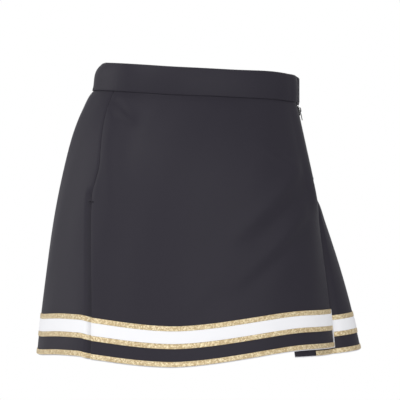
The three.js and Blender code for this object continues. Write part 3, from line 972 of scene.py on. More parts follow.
@dataclass(frozen=True)
class Finish:
    """How one material of the skirt looks."""

    name: str
    # colour and second are blended by random dye and, in patterned finishes, by painted
    # light: second goes to the painted hollows, colour to crests and glints.
    colour: tuple[float, float, float]
    second: tuple[float, float, float]
    pattern: Pattern
    pitch: tuple[float, ...] = (0.9, 0.8)
    bump: float = 0.15
    roughness: float = 0.85
    rough_spread: float = 0.08
    metallic: float = 0.0
    specular: float = 0.35
    sheen: float = 0.0
    sheen_tint: tuple[float, float, float] = (1, 1, 1)
    sheen_rough: float = 0.45
    dye: float = 0.12

    def make(self, effects: EffectGroups) -> bpy.types.Material:
        """Build the material.

        Args:
            effects: The shared effect groups.

        Returns:
            The material.
        """
        material = bpy.data.materials.new(self.name)
        material.use_nodes = True
        bench = NodeBench(material.node_tree)
        shader = material.node_tree.nodes["Principled BSDF"]
        shader.inputs["Metallic"].default_value = self.metallic
        shader.inputs["Specular IOR Level"].default_value = self.specular
        shader.inputs["Sheen Weight"].default_value = self.sheen
        shader.inputs["Sheen Roughness"].default_value = self.sheen_rough
        shader.inputs["Sheen Tint"].default_value = (*self.sheen_tint, 1)
        cloth = bench.add("ShaderNodeUVMap", uv_map="cloth")
        place = bench.add("ShaderNodeTexCoord")
        dye = bench.add("ShaderNodeGroup", node_tree=effects.mottle)
        bench.wire(place.outputs["Object"], dye.inputs["Vector"])
        dye.inputs["Large"].default_value = STAIN_SCALE
        dye.inputs["Small"].default_value = GRAIN_SCALE
        uneven = bench.math("ADD", bench.math("MULTIPLY", dye.outputs["Large"], 0.6),
                            bench.math("MULTIPLY", dye.outputs["Small"], 0.4))
        dye_and_painted_light: bpy.types.NodeSocket = uneven
        height: bpy.types.NodeSocket = dye.outputs["Small"]
        if self.pattern is not Pattern.PLAIN:
            tree = {Pattern.KNIT: effects.knit, Pattern.RIBS: effects.ribs,
                    Pattern.PLAIT: effects.plait}[self.pattern]
            weave = bench.add("ShaderNodeGroup", node_tree=tree)
            bench.wire(cloth.outputs[0], weave.inputs["Vector"])
            names = {Pattern.KNIT: ("Wale", "Course"), Pattern.RIBS: ("Rib", "Thread"),
                     Pattern.PLAIT: ("Strand",)}[self.pattern]
            for key, value in zip(names, self.pitch):
                weave.inputs[key].default_value = value
            height = weave.outputs["Height"]
            # The pattern's painted light (darker hollows, glints on the gold) is mixed here
            # with the random dye to blend the two colours.
            seen = bench.math("MULTIPLY", weave.outputs["Shade"], 1 - self.dye)
            dye_and_painted_light = bench.math("ADD", seen, bench.math("MULTIPLY", uneven, self.dye))
        bench.wire(bench.mix(dye_and_painted_light, (*self.second, 1), (*self.colour, 1)),
                   shader.inputs["Base Color"])
        rough = bench.math("ADD", bench.math("MULTIPLY", uneven, self.rough_spread),
                           self.roughness - self.rough_spread / 2, clamp=True)
        bench.wire(rough, shader.inputs["Roughness"])
        bump = bench.add("ShaderNodeBump")
        bump.inputs["Strength"].default_value = self.bump
        bump.inputs["Distance"].default_value = BUMP_DEPTH
        bench.wire(height, bump.inputs["Height"])
        bench.wire(bump.outputs[0], shader.inputs["Normal"])
        return material


FINISHES = (
    Finish("black_knit", (0.0265, 0.0235, 0.034), (0.016, 0.014, 0.021),
           Pattern.KNIT, (0.9, 0.8), 0.22, 0.54, 0.1, specular=0.22, sheen=0.07,
           sheen_tint=(0.97, 0.94, 1.0), sheen_rough=0.28, dye=0.5),
    # Gold braid: its lighter first colour is given mostly by a painted glint on random cells.
    Finish("gold_braid", (1.0, 0.87, 0.58), (0.56, 0.4, 0.195), Pattern.PLAIT,
           (1.9,), 0.9, 0.4, 0.25, metallic=0.3, specular=0.6, dye=0.1),
    Finish("white_braid", (0.96, 0.96, 0.975), (0.9, 0.9, 0.925), Pattern.RIBS,
           (1.2, 0.6), 0.2, 0.75, 0.1, specular=0.2, dye=0.2),
    Finish("white_facing", (0.9, 0.9, 0.92), (0.8, 0.8, 0.83), Pattern.RIBS,
           (0.6, 0.6), 0.2, 0.75, 0.1, dye=0.3),
    Finish("interfacing", (0.82, 0.82, 0.8), (0.7, 0.7, 0.69), Pattern.PLAIN,
           bump=0.3, roughness=0.9),
    Finish("elastic", (0.8, 0.79, 0.77), (0.62, 0.61, 0.6), Pattern.RIBS,
           (1.6, 0.5), 0.6, 0.8),
    Finish("ribbon", (0.03, 0.029, 0.034), (0.015, 0.014, 0.018), Pattern.RIBS,
           (0.35, 0.9), 0.3, 0.38, 0.1, specular=0.6, dye=0.2),
    Finish("label", (0.88, 0.88, 0.87), (0.78, 0.78, 0.77), Pattern.RIBS,
           (0.4, 0.4), 0.15, 0.45, 0.1, specular=0.5, dye=0.3),
    Finish("zip_tape", (0.03, 0.029, 0.033), (0.012, 0.012, 0.014), Pattern.RIBS,
           (1.4, 0.7), 0.6, 0.8, dye=0.2),
    Finish("zip_teeth", (0.035, 0.034, 0.038), (0.025, 0.024, 0.027),
           Pattern.PLAIN, bump=0.05, roughness=0.35, specular=0.6),
    Finish("slider_metal", (0.022, 0.022, 0.025), (0.014, 0.014, 0.016),
           Pattern.PLAIN, bump=0.04, roughness=0.5, rough_spread=0.2,
           specular=0.3),
    Finish("snap_metal", (0.62, 0.61, 0.6), (0.42, 0.42, 0.42), Pattern.PLAIN,
           bump=0.04, roughness=0.28, rough_spread=0.2, metallic=1.0),
    Finish("black_thread", (0.03, 0.03, 0.034), (0.015, 0.015, 0.018),
           Pattern.PLAIN, bump=0.2, roughness=0.6),
    Finish("white_thread", (0.85, 0.85, 0.86), (0.7, 0.7, 0.72), Pattern.PLAIN,
           bump=0.2, roughness=0.6),
)


class Wardrobe:
    """Every finish of the skirt, made once and handed out by name."""

    def __init__(self) -> None:
        """Build the shared effects and all finishes."""
        effects = EffectGroups()
        self.materials = {f.name: f.make(effects) for f in FINISHES}

    def dress(self, obj: bpy.types.Object, finish: str, slot: str | None = None,
              body: str = "skirt") -> bpy.types.Object:
        """Give a piece its finish and body.

        Args:
            obj: The piece.
            finish: Name of the finish.
            slot: Not used.
            body: Body that it rides on.

        Returns:
            The same piece.
        """
        obj.data.materials.clear()
        obj.data.materials.append(self.materials[finish])
        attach(obj, body)
        return obj

    def redress_node(self, node: str, finish: str, bevel: float = 0.0) -> None:
        """Give a CAD node a better finish and softened edges.

        Args:
            node: Name of the node.
            finish: Name of the finish.
            bevel: Width of the softened edges in millimetres, or 0 for none.
        """
        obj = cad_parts[node]
        if not obj.data.materials:
            obj.data.materials.append(None)
        for k in range(len(obj.data.materials)):
            obj.data.materials[k] = self.materials[finish]
        if bevel:
            soft = obj.modifiers.new("soft_edges", "BEVEL")
            soft.width = bevel * MM
            soft.segments = 2
            soft.limit_method = "ANGLE"
            soft.angle_limit = math.radians(35)
            soft.harden_normals = False


# ---- panels, pleats and braid --------------------------------------------------------


@dataclass(frozen=True)
class HemStrip:
    """A narrow length of braid or tape laid along the hem.

    rows are the depths of its two edges, out is the height of its middle from the face
    of the cloth, under is how far it runs under the flaps on the back shell, beyond is
    how far it goes past the front's zip-side edge, and crown is extra height along its
    middle.
    """

    name: str
    node: str
    finish: str
    rows: tuple[float, float]
    out: float
    thickness: float
    under: float
    beyond: float = 0.0
    crown: float = 0.0


@dataclass
class Panels:
    """The two shells of cloth, the pleat returns, and the braid and facing on them."""

    shape: SkirtShape
    wardrobe: Wardrobe
    cloth: float = 1.0
    allowance: float = 8
    under_reach: float = 85
    trim_under: float = 50
    trim_thickness: float = 0.6
    facing_thickness: float = 0.5
    facing_show: float = 1.2
    facing_height: float = 50
    facing_wrap: float = 2.9
    gold: float = 6.35
    white: float = 15.9
    space: float = 15.9
    gap: float = 0.3
    seam_zone: float = 16
    wrap_radius: float = 0.9
    gold_crown: float = 0.16
    white_crown: float = 0.05
    left_tack: float = 11
    right_tack: float = -22

    @property
    def under_top(self) -> float:
        """Depth where the underlay starts."""
        return self.shape.pleat_top + 8

    def front_angles(self, t: Array, v: Array) -> Array:
        """Angles over the front panel.

        Args:
            t: Share of the panel's width from its left edge.
            v: Depth below the waist seam.

        Returns:
            Angles in radians.
        """
        shape = self.shape
        start, end = (shape.angle_at(side, v, -shape.edge_gap(side, v)) for side in Side)
        return start + (end - start) * t

    def front_width(self, v: float) -> float:
        """Width of the front panel along its face.

        Args:
            v: Depth below the waist seam.

        Returns:
            The width in millimetres.
        """
        t = np.linspace(0, 1, 60)
        p = self.shape.point(Layer.FRONT, self.front_angles(t, np.full(60, v)), v, 0.0)
        return float(np.linalg.norm(np.diff(p, axis=0), axis=-1).sum())

    def edge_roll(self, distance: Array, v: Array) -> Array:
        """How far the cloth turns in beside a sewn edge and under the waist seam."""
        return (-0.55 * np.exp(-(distance / 2.0) ** 2)
                - 0.5 * np.exp(-((np.maximum(v, 0)) / 3.0) ** 2))

    def front_panel(self) -> bpy.types.Object:
        """The front panel, one smooth piece between the side-front seams.

        Returns:
            The piece.
        """
        shape = self.shape
        radius = self.cloth / 2
        scale = SPAN / self.front_width(shape.length)
        across = rounded_stations(0, SPAN, 4.2 * scale, radius * scale)
        down = rounded_stations(-self.allowance, shape.length, 3.2, radius)
        u, v = np.meshgrid(across, down)
        side = np.minimum(u, SPAN - u) / scale
        edge = np.minimum(side, np.minimum(v + self.allowance, shape.length - v))

        def place(a: Array, b: Array, out: Array) -> Array:
            """Points of the front panel.

            Args:
                a: Station across.
                b: Depth.
                out: Distance from mid cloth.

            Returns:
                Points in millimetres.
            """
            near = np.minimum(a, SPAN - a) / scale
            shut = 0.8 * smooth(shape.pleat_top, shape.pleat_top + 30, b)
            closed = np.where(a < SPAN / 2, shut, 0.0)
            roll = (self.edge_roll(near, b) * (1 - closed)
                    * smooth(shape.length, shape.length - 40, b))
            return shape.point(Layer.FRONT, self.front_angles(a / SPAN, b), b,
                               out - radius + roll)

        obj = cloth_shell("front_panel_cloth", place, across, down, self.cloth, edge)
        scale_across(obj, 1 / scale)
        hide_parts("front_panel")
        return self.wardrobe.dress(obj, "black_knit")

    def back_stations(self, under: float) -> Array:
        """Stations over the back shell: under the zip-side flap (negative), over the
        back, and under the left flap (beyond the span).

        Args:
            under: How far it runs under each flap.

        Returns:
            The stations in order.
        """
        zone = np.concatenate([EDGE_STEPS, np.linspace(1.5, self.seam_zone, 11)])
        reach = np.linspace(-under, -3, max(3, int(under / 5)))
        reach = np.concatenate([EDGE_STEPS[:3] - under, reach[1:], [-0.8]])
        middle = np.linspace(20, SPAN - 20, 190)
        return np.concatenate([reach, zone, middle, SPAN - zone[::-1],
                               SPAN - reach[::-1]])

    def back_angles(self, u: Array, v: Array) -> Array:
        """Angles for stations of the back shell, in millimetres beside the seams.

        Args:
            u: Station, as back_stations gives them.
            v: Depth below the waist seam.

        Returns:
            Angles in radians, from the zip-side seam round the back.
        """
        shape, near = self.shape, self.seam_zone
        zip_gap, left_gap = (shape.edge_gap(side, v) for side in (Side.RIGHT, Side.LEFT))
        right = shape.angle_at(Side.RIGHT, v, u + zip_gap * (u >= 0))
        left = 2 * np.pi + shape.angle_at(Side.LEFT, v, (SPAN - u) + left_gap)
        start = shape.angle_at(Side.RIGHT, v, near + zip_gap)
        end = 2 * np.pi + shape.angle_at(Side.LEFT, v, near + left_gap)
        middle = start + (end - start) * (u - near) / (SPAN - 2 * near)
        return np.where(u <= near, right, np.where(u >= SPAN - near, left, middle))

    def back_panel(self) -> bpy.types.Object:
        """The back and sides in one, carried in under the front at each pleat.

        Returns:
            The piece.
        """
        shape = self.shape
        across = self.back_stations(self.under_reach)
        down = rounded_stations(-self.allowance, shape.length, 3.4, self.cloth / 2)
        down = np.sort(np.concatenate([down, self.under_top + EDGE_STEPS]))
        u, v = np.meshgrid(across, down)
        outside = np.maximum(-u, u - SPAN)
        is_under = outside > 0
        top = np.where(is_under, v - self.under_top, v + self.allowance)
        side = np.where(is_under, self.under_reach - outside,
                        np.where(v < self.under_top, -outside, 60.0))
        edge = np.maximum(0, np.minimum(np.minimum(top, shape.length - v), side))
        cell_u = (across[:-1] + across[1:]) / 2
        cell_v = (down[:-1] + down[1:]) / 2
        cu, cv = np.meshgrid(cell_u, cell_v)
        present = ((cu > 0) & (cu < SPAN)) | (cv > self.under_top)

        def place(a: Array, b: Array, out: Array) -> Array:
            """Points of the back shell.

            Args:
                a: Station across.
                b: Depth.
                out: Distance from mid cloth.

            Returns:
                Points in millimetres.
            """
            near = np.maximum(0, np.minimum(a, SPAN - a))
            above = 1 - smooth(shape.pleat_top - 8, shape.pleat_top, b)
            roll = self.edge_roll(near, b) * above
            return shape.point(Layer.BACK, self.back_angles(a, b), b,
                               out - self.cloth / 2 + roll)

        obj = cloth_shell("back_panel_cloth", place, across, down, self.cloth, edge,
                          present)
        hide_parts("back_panel")
        return self.wardrobe.dress(obj, "black_knit")

    def pleat_return(self, side: Side) -> bpy.types.Object:
        """The cloth that runs back from a flap's edge to the fold and turns under.

        Args:
            side: Which pleat.

        Returns:
            The piece.
        """
        shape, name = self.shape, side.name.lower()
        start, flat_out, deep_out, bend = -1.5, -2.6, -4.8, 1.1
        fold = -self.under_reach + bend + 0.2
        length = start - fold
        arc = math.pi * bend
        total = length + arc
        across = np.concatenate([rounded_stations(0, length, 5, 0.5),
                                 np.linspace(length, total, 9)[1:]])
        down = rounded_stations(self.under_top + 2, shape.length - 1.5, 4, 0.5)
        u, v = np.meshgrid(across, down)
        edge = np.minimum(np.minimum(u, total - u), np.minimum(
            v - down[0], down[-1] - v))

        def place(s: Array, b: Array, out: Array) -> Array:
            """Points along the return and round its fold.

            Args:
                s: Distance along the return.
                b: Depth.
                out: Distance from mid cloth.

            Returns:
                Points in millimetres.
            """
            turn = np.clip((s - length) / bend, 0, math.pi)
            e = start - np.minimum(s, length) - (bend + out) * np.sin(turn)
            n = (flat_out + deep_out) / 2 + (bend + out) * np.cos(turn)
            return shape.point(Layer.FRONT, shape.angle_at(side, b, e), b, n)

        obj = cloth_shell(f"pleat_return_{name}", place, across, down, self.cloth * 0.96,
                          edge)
        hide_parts(f"pleat_insert_{name}")
        return self.wardrobe.dress(obj, "black_knit")

    def lay(self, strip: HemStrip, layer: Layer) -> bpy.types.Object:
        """Lay one strip along the hem of a shell.

        Args:
            strip: The braid or tape.
            layer: Shell it is sewn to.

        Returns:
            The piece.
        """
        shape, rows, beyond = self.shape, strip.rows, strip.beyond
        radius = strip.thickness / 2
        down = rounded_stations(rows[0], rows[1], 2.4, radius)
        flat_width = self.front_width((rows[0] + rows[1]) / 2)
        if layer is Layer.FRONT:
            width = flat_width
            across = rounded_stations(0, width, 3.6, radius)
            if beyond:
                last = width + beyond + radius * np.array([0.5, 0.8, 0.93, 1.0])
                across = np.concatenate(
                    [across[:-4], width + np.linspace(-0.4, beyond, 12), last])
                width += beyond + radius
            u, v = np.meshgrid(across, down)
            side = np.minimum(u, width - u)
        else:
            across = self.back_stations(strip.under)
            u, v = np.meshgrid(across, down)
            side = np.minimum(u + strip.under, SPAN + strip.under - u)
        edge = np.minimum(side, np.minimum(v - rows[0], rows[1] - v))

        def place(a: Array, b: Array, n: Array) -> Array:
            """Points of the strip.

            Args:
                a: Station across.
                b: Depth.
                n: Distance from the middle of the strip's thickness.

            Returns:
                Points in millimetres.
            """
            middle = np.sin(np.pi * np.clip((b - rows[0]) / (rows[1] - rows[0]), 0, 1))
            push = strip.out + n + strip.crown * middle
            if layer is Layer.BACK:
                return shape.point(layer, self.back_angles(a, b), b, push)
            if not beyond:
                return shape.point(layer, self.front_angles(a / flat_width, b), b, push)
            over = shape.angle_at(Side.RIGHT, b, self.edge_reach(a, flat_width, n)
                                  - shape.edge_gap(Side.RIGHT, b))
            share = np.clip(a / flat_width, 0, 1)
            angle = np.where(a <= flat_width, self.front_angles(share, b), over)
            return shape.point(layer, angle, b,
                               self.edge_rise(a, flat_width, strip.out, n))

        obj = cloth_shell(f"{strip.name}_{layer.value}", place, across, down,
                          strip.thickness, edge)
        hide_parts(f"{strip.node}_{layer.value}")
        return self.wardrobe.dress(obj, strip.finish)

    def edge_reach(self, a: Array, width: float, n: Array) -> Array:
        """How far the tape stands past the cloth where it wraps the flap's edge."""
        turn = np.clip((a - width) / self.wrap_radius, 0, np.pi / 2)
        return (0.75 - n) * np.sin(turn)

    def edge_rise(self, a: Array, width: float, out: float, n: Array) -> Array:
        """Height of the tape as it turns up over the flap's edge.

        Args:
            a: Station across.
            width: Station of the flap's edge.
            out: Height of the tape behind the cloth.
            n: Distance from the middle of its thickness.

        Returns:
            Distance outward in millimetres.
        """
        radius = self.wrap_radius
        turn = np.clip((a - width) / radius, 0, np.pi / 2)
        past = np.maximum(0, a - width - radius * np.pi / 2)
        return out + n * np.cos(turn) + radius * (1 - np.cos(turn)) + past

    def braid(self, layer: Layer) -> list[bpy.types.Object]:
        """The four rows of braid on one shell.

        Args:
            layer: The shell.

        Returns:
            The pieces, from the top down.
        """
        length = self.shape.length
        top = length - (3 * self.gold + self.white + self.space)
        rows = (
            ("gold_upper", "gold_braid", top, self.gold, self.gold_crown),
            ("white", "white_braid", top + self.gold, self.white, self.white_crown),
            ("gold_middle", "gold_braid", top + self.gold + self.white, self.gold,
             self.gold_crown),
            ("gold_hem", "gold_braid", length - self.gold, self.gold, self.gold_crown),
        )
        return [self.lay(HemStrip(f"braid_{name}", f"trim_{name}", finish,
                                  (start + 0.05, start + height - 0.05),
                                  self.gap - 0.1 + self.trim_thickness / 2,
                                  self.trim_thickness, self.trim_under, crown=crown),
                         layer)
                for name, finish, start, height, crown in rows]

    def facing(self, layer: Layer) -> bpy.types.Object:
        """The white tape behind the hem, a hair's breadth of it showing.

        Args:
            layer: The shell that it backs.

        Returns:
            The piece.
        """
        length = self.shape.length
        return self.lay(HemStrip("hem_tape", "hem_facing", "white_facing",
                                 (length - self.facing_height, length + self.facing_show),
                                 -self.cloth - self.gap - self.facing_thickness / 2 + 0.15,
                                 self.facing_thickness, self.under_reach,
                                 self.facing_wrap), layer)

    def bartack(self, side: Side) -> bpy.types.Object:
        """A short bar of close zigzag stitches across a seam where its pleat opens.

        Args:
            side: Which pleat.

        Returns:
            The piece.
        """
        shape = self.shape
        length, height, passes = 7.5, 1.5, 20
        v = shape.pleat_top + (self.left_tack if side is Side.LEFT else self.right_tack)
        t = np.linspace(0, 1, passes * 2 + 1)
        across = (-length / 2 if side is Side.LEFT else -length - 0.5) + length * t
        zig = height / 2 * np.where(np.arange(len(t)) % 2, 1, -1)
        angle = shape.angle_at(side, v + zig, across)
        path = shape.point(Layer.FRONT, angle, v + zig, 0.12)
        obj = swept_profile(f"bartack_{side.name.lower()}",
                            tube_rings(path, 0.13, 6))
        return self.wardrobe.dress(obj, "black_knit")

    def seam_allowance(self) -> bpy.types.Object:
        """The overlocked turnings inside the left seam, pressed to the back.

        Returns:
            The piece.
        """
        shape = self.shape
        first, last, top, foot = 0.4, 9.5, 4.0, shape.pleat_top - 6
        across = rounded_stations(first, last, 1.2, 0.4)
        down = rounded_stations(top, foot, 3, 0.4)
        u, v = np.meshgrid(across, down)
        edge = np.minimum(np.minimum(u - first, last - u), np.minimum(v - top, foot - v))

        def place(a: Array, b: Array, out: Array) -> Array:
            """Points of the turnings.

            Args:
                a: Distance behind the seam.
                b: Depth.
                out: Distance from mid cloth.

            Returns:
                Points in millimetres.
            """
            wave = 0.12 * np.sin(b * 0.9) * smooth(4, last, a)
            return shape.point(Layer.FRONT, shape.angle_at(Side.LEFT, b, a), b,
                               out - 2.1 + wave)

        obj = cloth_shell("seam_turnings_left", place, across, down, 0.8, edge)
        return self.wardrobe.dress(obj, "black_knit")

    def build(self) -> None:
        front = self.front_panel()
        back = self.back_panel()
        LOG.info("panels: %s, %s", front.name, back.name)
        returns = [self.pleat_return(side) for side in Side]
        for obj in returns:
            LOG.info("pleat: %s", obj.name)
        tapes = {layer: self.facing(layer) for layer in Layer}
        rows = {layer: self.braid(layer) for layer in Layer}
        for layer in Layer:
            LOG.info("braid on the %s: %d rows and a hem tape", layer.value,
                     len(rows[layer]))
        tacks = [self.bartack(side) for side in Side]
        turning = self.seam_allowance()
        LOG.info("bartacks: %d, inside: %s", len(tacks), turning.name)


# ---- waistband and closure -----------------------------------------------------------


@dataclass
class Waistband:
    """The folded band, its core, the lap over the zip and the press studs.

    The turns are millimetres for each radian round the waist: at its tightest, and on
    the whole.
    """

    shape: SkirtShape
    wardrobe: Wardrobe
    cloth: float = 1.0
    gap: float = 0.3
    band_end: float = 3
    lap_start: float = -10
    lap_end: float = 30
    lap_sag: float = 2.6
    stitch_rise: float = 0.16
    tight_turn: float = 110
    mean_turn: float = 120

    def profile(self) -> Array:
        """The band's folded section, going round once.

        Returns:
            Distance out and depth of each point.
        """
        top = -self.shape.band_height + 0.4
        outer, inner = self.gap + self.cloth, -2 * self.cloth - self.gap
        turn = np.linspace(0, np.pi, 9)
        mid, half = (outer + inner) / 2, (outer - inner) / 2
        crest = [(mid + half * math.cos(a), top + 1.7 - 1.7 * math.sin(a)) for a in turn]
        rows = np.linspace(-1.0, top + 2.6, 16)
        puff = 0.55 * np.sin(np.pi * np.clip((rows + 1) / (top + 3.6), 0, 1)) ** 0.7
        foot = [(outer - 0.75, 0.15), (outer - 0.3, 0.1), (outer - 0.05, -0.3)]
        outside = [(outer + p, r) for r, p in zip(rows, puff)]
        inside = [(inner - 0.3 * p, r) for r, p in zip(rows[::-1], puff[::-1])]
        legs = np.linspace(0.0, top + 1.9, 16)
        lining = [*((inner + self.cloth, r) for r in legs),
                  *((self.gap + 0.05, r) for r in legs[::-1])]
        return np.array([*foot, *outside, *crest, *inside, (inner, -0.2),
                         (inner + 0.3, 0.0), *lining])

    def sweep(self, name: str, angles: Array, node: str) -> bpy.types.Object:
        """The band over a run of angles, with faint puckers from its seam.

        Args:
            name: Name of the piece.
            angles: Angles round the body, from one end to the other.
            node: CAD node that it stands for.

        Returns:
            The piece.
        """
        profile = self.profile()
        n, v = profile[:, 0][None], profile[:, 1][None]
        turn = angles[:, None]
        outer_face = n > 0.9
        pucker = 0.16 * np.sin(131 * turn) * np.sin(35 * turn + 1.0)
        roll = 0.3 * np.sin(11 * turn + 0.4)
        sway = (pucker * np.exp(v / 9.0) - roll * v / self.shape.band_height) * outer_face
        rings = self.shape.point(Layer.FRONT, turn, v, n + sway, False)
        obj = swept_profile(name, rings)
        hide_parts(node)
        return self.wardrobe.dress(obj, "black_knit")

    def core(self, name: str, angles: Array, node: str, finish: str) -> bpy.types.Object:
        """The stiffener or elastic between the two legs of the band.

        Args:
            name: Name of the piece.
            angles: Angles round the body, rising.
            node: CAD node that it stands for.
            finish: Its finish.

        Returns:
            The piece.
        """
        shape = self.shape
        rows = rounded_stations(-shape.band_height + 3.2, -8.4, 2.0, 0.3)
        u, v = np.meshgrid(angles, rows)
        reach = np.minimum(u - angles[0], angles[-1] - u) * self.tight_turn
        edge = np.minimum(reach, np.minimum(v - rows[0], rows[-1] - v))

        def place(a: Array, b: Array, out: Array) -> Array:
            """Points of the strip."""
            return shape.point(Layer.FRONT, a, b, out - 0.5, False)

        obj = cloth_shell(name, place, angles, rows, 0.8, edge)
        scale_across(obj, self.mean_turn)
        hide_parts(node)
        return self.wardrobe.dress(obj, finish)

    def lap(self) -> bpy.types.Object:
        """The tab sewn to the front band's end that laps over the back.

        Returns:
            The piece.
        """
        shape = self.shape
        start, end = self.lap_start, self.lap_end
        across = rounded_stations(start, end, 1.6, 0.6)
        down = rounded_stations(-shape.band_height + 1.4, -0.9, 2.0, 0.6)
        u, v = np.meshgrid(across, down)
        edge = np.minimum(np.minimum(u - start, end - u), np.minimum(
            v - down[0], down[-1] - v))

        def place(a: Array, b: Array, out: Array) -> Array:
            """Points of the tab, stitched down round its edge.

            Args:
                a: Distance behind the zip's seam.
                b: Depth.
                out: Distance from mid cloth.

            Returns:
                Points in millimetres.
            """
            base, over = 1.6, 3.6
            lift = base + (over - base) * smooth(-9, 9, a)
            lift = lift - 1.1 * (smooth(-4, -0.5, b) + 1 - smooth(-35.5, -32.5, b))
            inset = np.minimum(np.minimum(a - start, end - a), np.minimum(
                b - down[0], down[-1] - b))
            groove = -0.18 * np.exp(-((inset - 3.0) / 0.7) ** 2)
            point = shape.point(Layer.FRONT, shape.angle_at(Side.RIGHT, 0.0, a), b,
                                lift + self.cloth / 2 + out + groove * (out > 0), False)
            point[..., 2] -= self.lap_sag * smooth(-6, 8, a) * smooth(-9, -1, b)
            return point

        obj = cloth_shell("closure_lap_cloth", place, across, down, self.cloth, edge)
        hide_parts("closure_tab")
        return self.wardrobe.dress(obj, "black_knit", body="lap")

    def lap_stitches(self) -> bpy.types.Object:
        """Topstitching round the tab, 3 mm in from its edge.

        Returns:
            The piece.
        """
        shape = self.shape
        low, high = -shape.band_height + 3.9, -3.9
        left, right = self.lap_start + 3, self.lap_end - 3
        corners = np.array([[left, low], [right, low], [right, high], [left, high]])
        stitches = []
        for a, b in zip(corners, np.roll(corners, -1, axis=0)):
            count = max(2, int(np.linalg.norm(b - a) / 2.6))
            for k in range(count):
                t = (k + STITCH_RUN) / count
                p = a[None] + (b - a)[None] * t[:, None]
                lift = 1.6 + 2.2 * smooth(-9, 9, p[:, 0])
                arch = self.stitch_rise * (STITCH_ARCH - 1)
                path = shape.point(Layer.FRONT, shape.angle_at(Side.RIGHT, 0.0, p[:, 0]),
                                   p[:, 1], lift + self.cloth + arch, False)
                stitches.append(swept_profile("stitch", tube_rings(path, 0.14, 5)))
        obj = joined("lap_topstitch", stitches)
        return self.wardrobe.dress(obj, "black_thread", "black_knit", "lap")

    @staticmethod
    def turns(start: float, end: float, count: int) -> Array:
        """Angles from start to end, with one more close beside each end."""
        inner = np.linspace(start, end, count)
        return np.sort(np.concatenate([inner, [start + 0.0006, end - 0.0006]]))

    def build(self) -> None:
        """Make the band, lap and studs."""
        shape = self.shape
        front = self.turns(float(shape.angle_at(Side.LEFT, 0.0, 0.02)),
                           float(shape.angle_at(Side.RIGHT, 0.0, -self.band_end)), 150)
        back = self.turns(float(shape.angle_at(Side.RIGHT, 0.0, self.band_end)),
                          2 * math.pi + float(shape.angle_at(Side.LEFT, 0.0, 0.0)), 210)
        made = [self.sweep("waistband_front_cloth", front, "waistband_front"),
                self.sweep("waistband_back_cloth", back[::-1], "waistband_back")]
        for obj, length in zip(made, (0.301, 0.44)):
            LOG.info("band: %s", obj.name)
        cores = [self.core("interfacing_strip", front[3:-3],
                           "waistband_interfacing_front", "interfacing"),
                 self.core("elastic_strip", back[3:-3], "waist_elastic_back", "elastic")]
        lap, stitches = self.lap(), self.lap_stitches()
        LOG.info("closure: %s, %s", lap.name, stitches.name)
        for level in ("upper", "lower"):
            self.wardrobe.redress_node(f"snap_stud_{level}", "snap_metal", 0.2)
            self.wardrobe.redress_node(f"snap_socket_{level}", "snap_metal", 0.2)


# ---- zip -----------------------------------------------------------------------------


@dataclass
class Zip:
    """Coil zip: woven tapes, two meshed coils, stops, slider and pull."""

    shape: SkirtShape
    wardrobe: Wardrobe
    pitch: float = 1.3
    start: float = 7.5
    end: float = 103.7
    wire: float = 0.27
    loop_middle: float = 1.05
    loop_half: float = 1.5
    loop_height: float = 0.62
    loop_ends: tuple[float, float] = (-0.35, 2.4)
    stitch_rows: tuple[float, float] = (-8.0, 8.2)
    stitch_span: tuple[float, float] = (4, 108)

    def coil(self, side: Side) -> bpy.types.Object:
        """One coil, its loops leaning over the middle to mesh with the other.

        Args:
            side: RIGHT for the coil on the back's tape.

        Returns:
            The piece.
        """
        turns = (self.end - self.start) / self.pitch
        t = np.linspace(0, turns, int(turns * 12))
        phase = 2 * np.pi * t + (0 if side is Side.RIGHT else np.pi)
        reach = self.loop_middle + self.loop_half * np.cos(phase)
        across = side.value * np.clip(reach, *self.loop_ends)
        out = -0.1 + self.loop_height * np.sin(phase)
        path = self.shape.strip_point(across, self.start + 0.3 + t * self.pitch * 0.99, out)
        obj = swept_profile(f"zip_coil_{side.name.lower()}", tube_rings(path, self.wire, 6))
        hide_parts("zip_teeth_back" if side is Side.RIGHT else "zip_teeth_front")
        return self.wardrobe.dress(obj, "zip_teeth")

    def edge_stitches(self) -> bpy.types.Object:
        """The rows of stitches that hold the tapes, beside the opening.

        Returns:
            The piece.
        """
        shape, count = self.shape, 38
        top, foot = self.stitch_span
        stitches = []
        for across in self.stitch_rows:
            for k in range(count):
                v = top + (foot - top) * (k + STITCH_RUN) / count
                arch = 0.14 * STITCH_ARCH - 0.1
                path = shape.point(Layer.FRONT, shape.angle_at(Side.RIGHT, v, across), v,
                                   arch)
                stitches.append(swept_profile("stitch", tube_rings(path, 0.13, 5)))
        obj = joined("zip_topstitch", stitches)
        return self.wardrobe.dress(obj, "black_thread", "black_knit")

    def build(self) -> None:
        """Make the coils and stitches and finish the other parts."""
        for side in Side:
            LOG.info("zip: %s", self.coil(side).name)
        LOG.info("zip: %s", self.edge_stitches().name)
        for name in ("front", "back"):
            self.wardrobe.redress_node(f"zip_tape_{name}", "zip_tape")
            self.wardrobe.redress_node(f"zip_top_stop_{name}", "slider_metal", 0.25)
        self.wardrobe.redress_node("zip_bottom_stop", "slider_metal", 0.25)
        self.wardrobe.redress_node("zip_slider_body", "slider_metal", 0.18)
        self.wardrobe.redress_node("zip_pull_tab", "slider_metal", 0.22)


# ---- inside --------------------------------------------------------------------------


